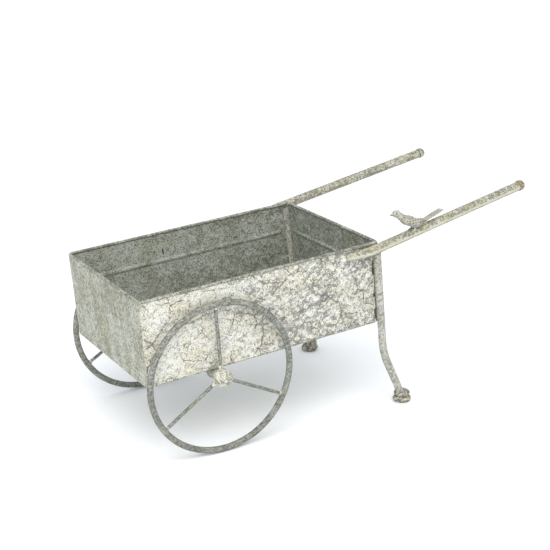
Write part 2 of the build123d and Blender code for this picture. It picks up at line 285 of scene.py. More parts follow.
def write_surface(piece: Piece, points: np.ndarray, height: np.ndarray) -> None:
    """Moves a piece's points and stores each one's height, which the paint reads.

    Args:
        piece: The piece to change.
        points: Its new points in millimetres.
        height: Height of the pattern at each point, from 0 to about 1.
    """
    mesh = piece.data
    mesh.vertices.foreach_set("co", (points * METRES).ravel())
    mesh.attributes.new("relief", "FLOAT", "POINT").data.foreach_set("value", height)
    mesh.update()


# ---------------------------------------------------------------- meshes


def make_piece(name: str, points: np.ndarray, faces: list[list[int]]) -> Piece:
    """Makes a closed smooth-shaded mesh whose faces look outwards.

    Args:
        name: Name of the piece.
        points: Corners in millimetres, one row of three each.
        faces: Corner numbers of each face.

    Returns:
        The new object, linked to the scene.
    """
    quads = np.array([face for face in faces if len(face) == 4])
    if len(quads):
        a, b, c, d = (points[quads[:, corner]] for corner in range(4))
        volume = np.einsum("ij,ij->", a, np.cross(b, c)) + np.einsum("ij,ij->", a, np.cross(c, d))
        if volume < 0:
            faces = [face[::-1] for face in faces]
    mesh = bpy.data.meshes.new(name)
    mesh.from_pydata((points * METRES).tolist(), [], faces)
    mesh.validate()
    mesh.polygons.foreach_set("use_smooth", [True] * len(mesh.polygons))
    return link(name, mesh)


def link(name: str, data: bpy.types.ID) -> Piece:
    """Puts a mesh, light or camera in the scene.

    Args:
        name: Name of the new object.
        data: What it shows.

    Returns:
        The object.
    """
    piece = bpy.data.objects.new(name, data)
    bpy.context.scene.collection.objects.link(piece)
    return piece


def stops_between(stops: list[float], step: float) -> np.ndarray:
    """Grid lines that keep every stop.

    Args:
        stops: Places that must be lines, in order.
        step: Furthest that two lines may be apart.

    Returns:
        The lines.
    """
    lines = [stops[0]]
    for start, end in zip(stops, stops[1:]):
        count = max(1, math.ceil((end - start) / step))
        lines += [start + (end - start) * (n + 1) / count for n in range(count)]
    return np.array(lines)


def plate_faces(kept: np.ndarray) -> np.ndarray:
    """Faces of a closed plate, as if a front grid and then a back grid of corners were listed.

    Args:
        kept: Which cells of the grid are solid.

    Returns:
        Four corner numbers per face.
    """
    rows, columns = kept.shape
    front = np.arange((rows + 1) * (columns + 1)).reshape(rows + 1, columns + 1)
    back = front + front.size
    r, c = np.nonzero(kept)
    faces = [
        np.stack([front[r, c], front[r, c + 1], front[r + 1, c + 1], front[r + 1, c]], axis=1),
        np.stack([back[r, c], back[r + 1, c], back[r + 1, c + 1], back[r, c + 1]], axis=1),
    ]
    around = np.pad(kept, 1)
    edges = [(-1, 0, 0, 0, 0, 1), (0, 1, 0, 1, 1, 1), (1, 0, 1, 1, 1, 0), (0, -1, 1, 0, 0, 0)]
    for down, over, ar, ac, br, bc in edges:
        beyond = around[1 + down : 1 + down + rows, 1 + over : 1 + over + columns]
        r, c = np.nonzero(kept & ~beyond)
        start = (r + ar, c + ac)
        end = (r + br, c + bc)
        faces.append(np.stack([front[end], front[start], back[start], back[end]], axis=1))
    return np.concatenate(faces)


def make_plate(name: str, front: np.ndarray, back: np.ndarray, kept: np.ndarray) -> Piece:
    """Makes a thin closed plate from its two surfaces.

    Args:
        name: Name of the piece.
        front: Grid of points on the front, rows by columns by three.
        back: The same on the back.
        kept: Which cells are solid; the rest are holes.

    Returns:
        The new object.
    """
    points = np.concatenate([front.reshape(-1, 3), back.reshape(-1, 3)])
    faces = plate_faces(kept)
    used, renumbered = np.unique(faces, return_inverse=True)
    return make_piece(name, points[used], renumbered.reshape(-1, 4).tolist())


def sweep(
    name: str, path: np.ndarray, across: np.ndarray, outline: np.ndarray, closed: bool = False
) -> Piece:
    """Sweeps an outline along a path.

    Args:
        name: Name of the piece.
        path: Points along the middle.
        across: A direction that is never along the path; the outline's first axis.
        outline: One outline per path point, each point an offset across and an offset square to that.
        closed: Whether the path joins its own start.

    Returns:
        The new object, with its ends closed.
    """
    if closed:
        along = np.roll(path, -1, axis=0) - np.roll(path, 1, axis=0)
    else:
        along = np.gradient(path, axis=0)
    along /= np.linalg.norm(along, axis=1)[:, None]
    square = np.cross(along, across)
    square /= np.linalg.norm(square, axis=1)[:, None]
    first = np.cross(square, along)
    points = path[:, None] + outline[..., :1] * first[:, None] + outline[..., 1:] * square[:, None]
    rings, around = outline.shape[:2]
    numbers = np.arange(rings * around).reshape(rings, around)
    ahead = np.roll(numbers, -1, axis=0) if closed else numbers[1:]
    here = numbers if closed else numbers[:-1]
    corners = [here, np.roll(here, -1, axis=1), np.roll(ahead, -1, axis=1), ahead]
    faces = np.stack(corners, axis=-1).reshape(-1, 4).tolist()
    if not closed:
        faces += [numbers[0][::-1].tolist(), numbers[-1].tolist()]
    return make_piece(name, points.reshape(-1, 3), faces)


def circles(radii: np.ndarray, around: int) -> np.ndarray:
    """Round outlines for a sweep.

    Args:
        radii: Radius of each outline.
        around: Number of corners on each.

    Returns:
        One outline per radius.
    """
    turn = full_turn(around)
    return radii[:, None, None] * np.stack([np.cos(turn), np.sin(turn)], axis=1)


def revolve(
    name: str, centre: np.ndarray, axis: np.ndarray, profile: list[tuple[float, float]], around: int
) -> Piece:
    """Turns a closed outline about an axis.

    Args:
        name: Name of the piece.
        centre: A point on the axis.
        axis: Direction of the axis.
        profile: Radius and distance along the axis, with both ends on the axis.
        around: Number of steps round the axis.

    Returns:
        The new object.
    """
    axis = axis / np.linalg.norm(axis)
    helper = Z_AXIS if abs(axis[2]) < 0.9 else X_AXIS
    first = np.cross(axis, helper)
    first /= np.linalg.norm(first)
    second = np.cross(axis, first)
    turn = full_turn(around)
    ring = np.cos(turn)[:, None] * first + np.sin(turn)[:, None] * second
    inner = np.array(profile[1:-1])
    body = centre + inner[:, None, :1] * ring + inner[:, None, 1:] * axis
    ends = np.array([centre + profile[0][1] * axis, centre + profile[-1][1] * axis])
    points = np.concatenate([body.reshape(-1, 3), ends])
    numbers = np.arange(body.shape[0] * around).reshape(-1, around)
    nexts = np.roll(numbers, -1, axis=1)
    quads = np.stack([numbers[:-1], nexts[:-1], nexts[1:], numbers[1:]], axis=-1)
    faces = quads.reshape(-1, 4).tolist()
    first_end, last_end = len(points) - 2, len(points) - 1
    faces += [[int(b), int(a), first_end] for a, b in zip(numbers[0], nexts[0])]
    faces += [[int(a), int(b), last_end] for a, b in zip(numbers[-1], nexts[-1])]
    return make_piece(name, points, faces)


def fine_profile(corners: list[tuple[float, float]], step: float) -> list[tuple[float, float]]:
    """Adds points along each straight run of a profile.

    Args:
        corners: The profile's corners, each a radius and a distance along the axis.
        step: Furthest that two points may be apart.

    Returns:
        The corners and the points between them.
    """
    finer = [corners[0]]
    for (r0, h0), (r1, h1) in zip(corners, corners[1:]):
        count = max(1, math.ceil(math.hypot(r1 - r0, h1 - h0) / step))
        finer += [(r0 + (r1 - r0) * n / count, h0 + (h1 - h0) * n / count) for n in range(1, count + 1)]
    return finer


def lump(
    centre: np.ndarray, sizes: Triple, turn: Matrix, seed: int, rough: float
) -> Shape:
    """A knobbly blob of weld or casting.

    Args:
        centre: Its middle.
        sizes: Half its size along each of its own axes.
        turn: Rotation of those axes.
        seed: Picks its lumps.
        rough: How deep its lumps are, as a share of its size.

    Returns:
        Its points and its faces.
    """
    shape = bmesh.new()
    bmesh.ops.create_icosphere(shape, subdivisions=3, radius=1.0)
    unit = np.array([corner.co[:] for corner in shape.verts])
    faces = [[corner.index for corner in face.verts] for face in shape.faces]
    shape.free()
    swell = 1 - rough * (0.5 + 0.5 * hills(unit * 2.2 + seed * 5.3, 1.0, seed, 2))
    local = unit * swell[:, None] * np.array(sizes)
    return centre + local @ np.array(turn.to_3x3()).T, faces


def join_shapes(shapes: list[Shape]) -> Shape:
    """Puts several shapes together as one.

    Args:
        shapes: Points and faces of each.

    Returns:
        Points and faces of all of them.
    """
    points = []
    faces = []
    start = 0
    for shape_points, shape_faces in shapes:
        points.append(shape_points)
        faces += [[corner + start for corner in face] for face in shape_faces]
        start += len(shape_points)
    return np.concatenate(points), faces


def fuse(piece: Piece, voxel: float, smoothing: int) -> None:
    """Melts overlapping closed shapes into one skin.

    Args:
        piece: The piece to change.
        voxel: Size of the smallest detail kept, in millimetres.
        smoothing: How many times the skin is evened out afterwards.
    """
    remesh = piece.modifiers.new("fuse", "REMESH")
    remesh.mode = "VOXEL"
    remesh.voxel_size = voxel * METRES
    remesh.use_smooth_shade = True
    even = piece.modifiers.new("even", "SMOOTH")
    even.factor = 0.5
    even.iterations = smoothing
    shown = piece.evaluated_get(bpy.context.evaluated_depsgraph_get())
    fused = bpy.data.meshes.new_from_object(shown)
    old = piece.data
    piece.modifiers.clear()
    piece.data = fused
    bpy.data.meshes.remove(old)
    fused.name = piece.name


# ---------------------------------------------------------------- paint


def linear(red: int, green: int, blue: int) -> Colour:
    """Turns a screen colour into light.

    Args:
        red: From 0 to 255.
        green: From 0 to 255.
        blue: From 0 to 255.

    Returns:
        The light of each channel, from 0 to 1.
    """
    return tuple(
        part / 255 / 12.92 if part / 255 <= 0.04045 else ((part / 255 + 0.055) / 1.055) ** 2.4
        for part in (red, green, blue)
    )


class Shading:
    """Builds one material's nodes."""

    def __init__(self, name: str) -> None:
        """Starts an empty material.

        Args:
            name: Name of the material.
        """
        self.material = bpy.data.materials.new(name)
        self.material.use_nodes = True
        self.tree = self.material.node_tree
        self.tree.nodes.clear()

    def add(self, kind: str, inputs: dict | None = None, **settings: object) -> bpy.types.Node:
        """Adds a node.

        Args:
            kind: Blender's name for the node's type, without its ShaderNode prefix.
            inputs: Value or output socket for each input, by the input's name or number.
            settings: Properties of the node.

        Returns:
            The new node.
        """
        node = self.tree.nodes.new("ShaderNode" + kind)
        for name, value in settings.items():
            setattr(node, name, value)
        for name, value in (inputs or {}).items():
            if isinstance(value, Socket):
                self.tree.links.new(value, node.inputs[name])
            else:
                node.inputs[name].default_value = value
        return node

    def noise(
        self, place: Socket, cell: float, detail: float, rough: float
    ) -> Socket:
        """Noise from 0 to 1 with features of about a cell in millimetres."""
        inputs = {"Vector": place, "Scale": 1 / (cell * METRES), "Detail": detail, "Roughness": rough}
        return self.add("TexNoise", inputs).outputs["Fac"]

    def span(
        self,
        value: Socket,
        low: float,
        high: float,
        to_low: float = 0.0,
        to_high: float = 1.0,
    ) -> Socket:
        """Maps low to high smoothly onto another range, and holds it outside."""
        inputs = {"Value": value, "From Min": low, "From Max": high, "To Min": to_low, "To Max": to_high}
        return self.add("MapRange", inputs, interpolation_type="SMOOTHSTEP").outputs["Result"]

    def mix(self, share: object, first: object, second: object, how: str = "MIX") -> Socket:
        """Mixes two colours.

        Args:
            share: How much of the second is seen, from 0 to 1.
            first: The first colour, or its socket.
            second: The second colour, or its socket.
            how: Blender's name for the way they mix.

        Returns:
            The mixed colour.
        """
        node = self.add("Mix", data_type="RGBA", blend_type=how)
        for number, value in ((0, share), (6, first), (7, second)):
            if isinstance(value, Socket):
                self.tree.links.new(value, node.inputs[number])
            else:
                node.inputs[number].default_value = (*value, 1.0) if isinstance(value, tuple) else value
        return node.outputs[2]

    def maths(self, how: str, first: object, second: object, third: object = 0.0) -> Socket:
        """Does one sum."""
        return self.add("Math", {0: first, 1: second, 2: third}, operation=how).outputs[0]


@dataclass(frozen=True)
class Whitewash:
    """Chalky paint rubbed through to grey metal in every hollow.

    Attributes:
        name: Name of the material.
        chalk: The paint where it is thick.
        cream: The paint where it has yellowed.
        worn: The metal that shows through.
        dirt: The darkest specks and cracks.
        bare: Share of the surface rubbed to metal, from 0 to 1.
        relief: How strongly the pressed pattern steers the wear.
        speck: Size of the fine specks.
        patch: Size of the yellowed and rubbed patches.
        streak: How much shorter the pattern runs along X, Y and Z.
        rust: Share of the surface stained brown, from 0 to 1.
        cracks: Strength of the drawn hairline cracks, from 0 to 1.
        crack_cell: Distance between those cracks.
        swirl: Size of their bends, and how far the bends reach.
        uneven: How strongly the broad patches steer the wear.
        grime: Strength of the darkest specks, from 0 to 1.
        blend: How softly paint turns to metal.
        bump: Depth of the fine bump.
    """

    name: str
    chalk: Colour
    cream: Colour
    worn: Colour
    dirt: Colour
    bare: float = 0.35
    relief: float = 0.6
    speck: float = 2.3
    patch: float = 26.0
    streak: Triple = (1.0, 1.0, 1.0)
    rust: float = 0.0
    cracks: float = 0.6
    crack_cell: float = 26.0
    swirl: float = 9.0
    uneven: float = 0.3
    grime: float = 0.85
    blend: float = 0.07
    bump: float = 0.25

    def material(self) -> bpy.types.Material:
        """Builds the finish, or finds it if it has been built.

        Returns:
            The material.
        """
        if self.name in bpy.data.materials:
            return bpy.data.materials[self.name]
        shading = Shading(self.name)
        object_place = shading.add("TexCoord").outputs["Object"]
        place = shading.add("Mapping", {"Vector": object_place, "Scale": self.streak}).outputs[0]
        specks = shading.noise(place, self.speck, 2.0, 0.6)
        grains = shading.noise(place, self.speck * 0.5, 2.0, 0.6)
        flakes = shading.noise(place, self.speck * 3.2, 3.0, 0.6)
        patches = shading.noise(place, self.patch, 3.0, 0.55)
        hairlines = self.hairlines(shading, place, patches)
        layers = ((specks, 1.0), (grains, 0.8), (flakes, 0.3), (patches, self.uneven))
        wear = self.wear(shading, layers, hairlines)
        colour = self.colour(shading, place, patches, grains, wear, hairlines)
        rough = shading.span(wear, 0.0, 1.0, PAINT_ROUGHNESS, METAL_ROUGHNESS)
        height = shading.maths("MULTIPLY_ADD", flakes, 0.6, specks)
        height = shading.maths("SUBTRACT", height, wear)
        bump = shading.add("Bump", {"Strength": 0.55, "Distance": self.bump * METRES, "Height": height})
        inputs = {"Base Color": colour, "Roughness": rough, "Normal": bump.outputs[0], "Metallic": 0.0}
        surface = shading.add("BsdfPrincipled", inputs)
        surface.inputs["Specular IOR Level"].default_value = SPECULAR
        shading.add("OutputMaterial", {"Surface": surface.outputs[0]})
        return shading.material

    def hairlines(
        self, shading: Shading, place: Socket, patches: Socket
    ) -> Socket:
        """Draws thin wandering cracks.

        Args:
            shading: The material being built.
            place: Where the pattern is looked up.
            patches: The broadest noise, which breaks the cracks off.

        Returns:
            1 on a crack and 0 off it.
        """
        swirl = {"Vector": place, "Scale": 1 / (self.swirl * METRES), "Detail": 3.0}
        bent = shading.add("TexNoise", swirl).outputs["Color"]
        push = {0: bent, 1: (self.swirl * METRES,) * 3, 2: place}
        bent_place = shading.add("VectorMath", push, operation="MULTIPLY_ADD").outputs[0]
        cells = {"Vector": bent_place, "Scale": 1 / (self.crack_cell * METRES)}
        gap = shading.add("TexVoronoi", cells, feature="DISTANCE_TO_EDGE").outputs["Distance"]
        line = shading.span(gap, 0.008, 0.03, 1.0, 0.0)
        broken = shading.span(patches, 0.44, 0.56, 0.0, 1.0)
        return shading.maths("MULTIPLY", line, broken)

    def wear(
        self,
        shading: Shading,
        layers: tuple[tuple[Socket, float], ...],
        hairlines: Socket,
    ) -> Socket:
        """Where the paint is gone, 0 where it is whole and 1 where metal shows.

        Args:
            shading: The material being built.
            layers: Noises and the weight of each.
            hairlines: The drawn cracks.

        Returns:
            The wear.
        """
        total = 0.0
        for noise, weight in layers:
            total = shading.maths("MULTIPLY_ADD", noise, weight, total)
        height = shading.add("Attribute", attribute_name="relief").outputs["Fac"]
        depth = shading.maths("SUBTRACT", 0.62, height)
        total = shading.maths("MULTIPLY_ADD", depth, self.relief, total)
        total = shading.maths("MULTIPLY_ADD", hairlines, self.cracks * 0.5, total)
        middle = 0.5 * sum(weight for _, weight in layers) + 0.25 - 0.5 * self.bare
        return shading.span(total, middle - self.blend, middle + 1.6 * self.blend)

    def colour(
        self,
        shading: Shading,
        place: Socket,
        patches: Socket,
        grains: Socket,
        wear: Socket,
        hairlines: Socket,
    ) -> Socket:
        """Lays the colours over each other.

        Args:
            shading: The material being built.
            place: Where the pattern is looked up.
            patches: The broadest noise.
            grains: The finest noise.
            wear: Where metal shows.
            hairlines: The drawn cracks.

        Returns:
            The colour.
        """
        yellowed = shading.span(patches, 0.38, 0.6)
        paint = shading.mix(yellowed, self.chalk, self.cream)
        colour = shading.mix(wear, paint, self.worn)
        deep = shading.span(grains, 0.5, 0.66, 0.0, self.grime)
        grime = shading.maths("MULTIPLY", deep, shading.span(wear, 0.25, 0.9))
        colour = shading.mix(grime, colour, self.dirt)
        lines = shading.maths("MULTIPLY", hairlines, self.cracks)
        colour = shading.mix(lines, colour, self.dirt)
        if self.rust:
            stain = shading.noise(place, 9.0, 4.0, 0.6)
            brown = shading.span(stain, 0.72 - 0.45 * self.rust, 0.86 - 0.45 * self.rust)
            colour = shading.mix(brown, colour, linear(*RUST_BROWN))
        return colour


def wash(name: str, *colours: tuple[int, int, int], **settings: object) -> Whitewash:
    """A whitewash whose chalk, cream, worn and dirt colours are given as screen colours."""
    return Whitewash(name, *(linear(*colour) for colour in colours), **settings)


class Finish(Enum):
    """The finishes of the barrow."""

    SIDE = wash(
        "side_whitewash", (213, 212, 203), (212, 208, 190), (132, 131, 127), (72, 71, 66),
        bare=0.6, relief=0.62, cracks=0.55,
        speck=1.5, crack_cell=30.0, uneven=0.2, blend=0.06,
    )
    # Its own streakier, less cracked whitewash, painted darker than the side walls' as painted shade on
    # the front wall, which faces away from the key light; the floor's underside uses it too.
    FRONT = wash(
        "front_whitewash_painted_shade", (183, 184, 174), (175, 176, 153), (127, 128, 116), (78, 79, 70),
        bare=0.52, relief=0.4,
        patch=34.0, streak=(1.0, 1.5, 0.6), cracks=0.3, uneven=0.5, bump=0.18,
    )
    INSIDE = wash(
        "inside_grey", (169, 172, 163), (160, 163, 148), (106, 109, 100), (53, 55, 50),
        bare=0.58, relief=0.4, cracks=0.2,
        uneven=0.12, speck=1.7,
    )
    BEAD = wash(
        "bead_grey", (181, 181, 170), (174, 172, 153), (110, 110, 101), (49, 48, 42),
        bare=0.62, relief=0.5, speck=1.4,
        patch=18.0, rust=0.08, cracks=0.2, bump=0.2,
    )
    TUBE = wash(
        "tube_whitewash", (184, 182, 170), (180, 176, 152), (123, 121, 109), (66, 63, 52),
        bare=0.6, relief=0.75, speck=1.5,
        patch=18.0, rust=0.06, cracks=0.1, uneven=0.12, bump=0.2,
    )
    CAP = wash(
        "cap_brown", (172, 166, 146), (158, 148, 122), (116, 106, 86), (66, 56, 42),
        bare=0.55, relief=0.6, speck=1.6,
        patch=9.0, rust=0.2, cracks=0.1, bump=0.15,
    )
    LEG = wash(
        "leg_whitewash", (185, 184, 177), (179, 178, 162), (128, 127, 121), (77, 75, 68),
        bare=0.45, relief=0.7, speck=1.5,
        patch=16.0, cracks=0.1, uneven=0.15, bump=0.18,
    )
    FOOT = wash(
        "foot_whitewash", (185, 183, 174), (176, 172, 153), (109, 106, 96), (47, 44, 36),
        bare=0.44, relief=1.3, speck=1.7,
        patch=10.0, cracks=0.1, bump=0.2,
    )
    WELD = wash(
        "weld_whitewash", (210, 209, 201), (205, 201, 180), (149, 147, 136), (91, 88, 78),
        bare=0.38, relief=0.6, speck=1.7,
        patch=9.0, cracks=0.1, bump=0.2,
    )
    WHEEL = wash(
        "wheel_grey", (151, 153, 146), (146, 146, 133), (99, 101, 95), (49, 50, 46),
        bare=0.55, relief=0.7, speck=1.5,
        patch=15.0, rust=0.04, cracks=0.1, uneven=0.2, bump=0.18,
    )
    HUB = wash(
        "hub_whitewash", (197, 196, 188), (191, 190, 170), (133, 132, 120), (71, 68, 59),
        bare=0.42, relief=1.0, speck=1.7,
        patch=8.0, cracks=0.1, bump=0.2,
    )
    AXLE = wash(
        "axle_grey", (196, 197, 189), (188, 187, 173), (136, 137, 130), (76, 75, 68),
        bare=0.5, relief=0.0, speck=1.7,
        patch=12.0, rust=0.08, cracks=0.1, bump=0.12,
    )
    # Near-black painted shade, on the straps behind the slots so that the slots read dark.
    SHADE = wash(
        "slot_shade", (46, 45, 41), (42, 40, 35), (30, 29, 27), (18, 17, 16),
        bare=0.6, relief=0.0, cracks=0.0, bump=0.1,
    )
    BIRD = wash(
        "bird_whitewash", (173, 171, 162), (166, 163, 147), (100, 97, 83), (49, 44, 33),
        bare=0.6, relief=1.6, speck=1.3,
        patch=7.0, rust=0.04, cracks=0.0, bump=0.1,
    )
    EYE = wash(
        "eye_brown", (112, 82, 64), (96, 66, 50), (62, 46, 38), (32, 26, 22),
        bare=0.6, relief=0.0, speck=0.6,
        patch=2.0, rust=0.3, cracks=0.0, bump=0.05,
    )


def dress(piece: Piece, finish: Finish, second: Finish | None = None) -> None:
    """Paints a piece.

    Args:
        piece: The piece to paint.
        finish: Its finish.
        second: The finish of the faces whose material number is 1, if it has any.
    """
    piece.data.materials.clear()
    piece.data.materials.append(finish.value.material())
    if second:
        piece.data.materials.append(second.value.material())


def settle(piece: Piece, body: str, slot: str, *nodes: str) -> None:
    """Puts a piece on its body and reports it.

    Args:
        piece: The finished piece.
        body: The body it moves with.
        slot: The record's material slot; it is not used.
        nodes: The frame's nodes that it stands for.
    """
    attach(piece, body)
    if nodes:
        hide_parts(*nodes)
    LOG.info("%s: %d corners on %s", piece.name, len(piece.data.vertices), body)


def complete(piece: Piece, finish: Finish, relief: Relief, body: str, slot: str, *nodes: str) -> None:
    """Paints a piece, cuts its relief and puts it on its body.

    Args:
        piece: The piece, at its place.
        finish: Its finish.
        relief: Its pattern.
        body: The body it moves with.
        slot: The record's material slot; it is handed on to settle, which does not use it.
        nodes: The frame's nodes that it stands for.
    """
    dress(piece, finish)
    relief.press(piece)
    settle(piece, body, slot, *nodes)


# ---------------------------------------------------------------- the tub


@dataclass
class TubShape:
    """Where the tub lies, and places on it.

    Attributes:
        origin: Middle of the floor's front lower edge.
        pitch: Slope of the floor in radians.
        length: Length of the floor.
        depth: Height of the mouth above the floor's underside.
        floor_half: Half the width over the floor.
        mouth_half: Half the width over the mouth.
        sheet: Thickness of the sheet metal.
        bead_r: Radius of the rolled bead round the mouth.
    """

    origin: np.ndarray
    pitch: float
    length: float
    depth: float
    floor_half: float
    mouth_half: float
    sheet: float = 1.0
    bead_r: float = 2.3

    @classmethod
    def from_frame(cls) -> "TubShape":
        """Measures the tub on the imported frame.

        Returns:
            The tub's shape.
        """
        pitch = math.radians(TUB_PITCH)
        sheet = cls.sheet
        low, high = (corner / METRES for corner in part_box("floor_panel"))
        front_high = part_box("front_panel")[1] / METRES
        length = (high.x - low.x - sheet * math.sin(pitch)) / math.cos(pitch)
        origin = np.array([low.x + sheet * math.sin(pitch), 0.0, low.z])
        depth = (front_high.z - low.z - sheet * math.sin(pitch)) / math.cos(pitch)
        return cls(origin, pitch, length, depth, high.y, front_high.y, sheet)

    def wall_half(self, up: np.ndarray | float) -> np.ndarray | float:
        """Half the width over the side walls at a height.

        Args:
            up: One height or many.

        Returns:
            The half width at each.
        """
        rise = (up - self.sheet) / (self.depth - self.sheet)
        return self.floor_half + (self.mouth_half - self.floor_half) * rise

    def along_axis(self) -> np.ndarray:
        """Direction along the floor, to the rear."""
        return np.array([math.cos(self.pitch), 0.0, math.sin(self.pitch)])

    def up_axis(self) -> np.ndarray:
        """Direction square to the floor."""
        return np.array([-math.sin(self.pitch), 0.0, math.cos(self.pitch)])

    def point(self, along: np.ndarray, across: np.ndarray, up: np.ndarray) -> np.ndarray:
        """Places given in the tub's own directions.

        Args:
            along: Distance back from the front.
            across: Distance from the middle plane.
            up: Height above the floor's underside.

        Returns:
            The same places, one row of three each.
        """
        along, across, up = (part[..., None] for part in np.broadcast_arrays(along, across, up))
        return self.origin + along * self.along_axis() + across * Y_AXIS + up * self.up_axis()


@dataclass
class LegShape:
    """The centre line of a leg.

    Attributes:
        tub: The tub that the leg is welded to.
        radius: Radius of its tube.
        bite: How far it reaches inside the line of the side wall.
        rear_inset: Its distance from the tub's rear edge at the mouth.
        rake: How much further back it stands at the floor than at the mouth.
        top_drop: How far below the mouth it stops.
        knee_height: Height of its bend above the ground.
        bend_radius: Radius of that bend.
        end_height: Height of its lower end, inside the foot.
    """

    tub: TubShape
    radius: float = 5.3
    bite: float = 1.7
    rear_inset: float = 4.0
    rake: float = 4.5
    top_drop: float = 7.0
    knee_height: float = 75.0
    bend_radius: float = 110.0
    end_height: float = 7.5

    def on_wall(self, side: int, up: float) -> np.ndarray:
        """A point on a leg's straight upper run.

        Args:
            side: -1 on the left, 1 on the right.
            up: Its height above the floor's underside.

        Returns:
            The point.
        """
        along = self.tub.length - self.rear_inset + self.rake * (1 - up / self.tub.depth)
        return self.tub.point(along, side * (self.tub.wall_half(up) + self.radius - self.bite), up)

    def edge_along(self, up: np.ndarray, slit: float) -> np.ndarray:
        """Where a side wall stops, short of its leg.

        Args:
            up: Heights above the floor's underside.
            slit: Width of the gap that is left.

        Returns:
            Distance back from the front at each height.
        """
        along = self.tub.length - self.rear_inset + self.rake * (1 - up / self.tub.depth)
        return along - self.radius - slit

    def foot_axis(self, side: int, height: float) -> np.ndarray:
        """A point on a foot's upright axis, which the frame's foot gives.

        Args:
            side: -1 on the left, 1 on the right.
            height: Its height above the ground.

        Returns:
            The point.
        """
        low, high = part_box("foot_left" if side < 0 else "foot_right")
        middle = (low + high) / 2 / METRES
        return np.array([middle.x, middle.y, height])

    def path(self, side: int, step: float) -> np.ndarray:
        """Points down the leg, from its top to inside its foot.

        Args:
            side: -1 on the left, 1 on the right.
            step: Distance between points.

        Returns:
            The points, one row of three each.
        """
        top = self.on_wall(side, self.tub.depth - self.top_drop)
        high = self.on_wall(side, self.tub.depth)
        low = self.on_wall(side, 0.0)
        share = (high[2] - self.knee_height) / (high[2] - low[2])
        foot = self.foot_axis(side, self.end_height)
        knee = np.array([high[0] + (low[0] - high[0]) * share, foot[1], self.knee_height])
        into = (knee - top) / np.linalg.norm(knee - top)
        out = (foot - knee) / np.linalg.norm(foot - knee)
        angle = math.acos(float(np.clip(into @ out, -1, 1)))
        setback = self.bend_radius * math.tan(angle / 2)
        start = knee - into * setback
        end = knee + out * setback
        inwards = out - into * math.cos(angle)
        inwards /= np.linalg.norm(inwards)
        centre = start + inwards * self.bend_radius
        turns = np.linspace(0, angle, max(3, int(angle * self.bend_radius / step)))[:, None]
        bend = centre + self.bend_radius * (np.sin(turns) * into - np.cos(turns) * inwards)
        upper = straight(top, start, step)[:-1]
        lower = straight(end, foot, step)[1:]
        return np.concatenate([upper, bend, lower])


def straight(start: np.ndarray, end: np.ndarray, step: float) -> np.ndarray:
    """Points along a straight line, both ends included."""
    count = max(2, int(np.linalg.norm(end - start) / step) + 1)
    return start + np.linspace(0, 1, count)[:, None] * (end - start)


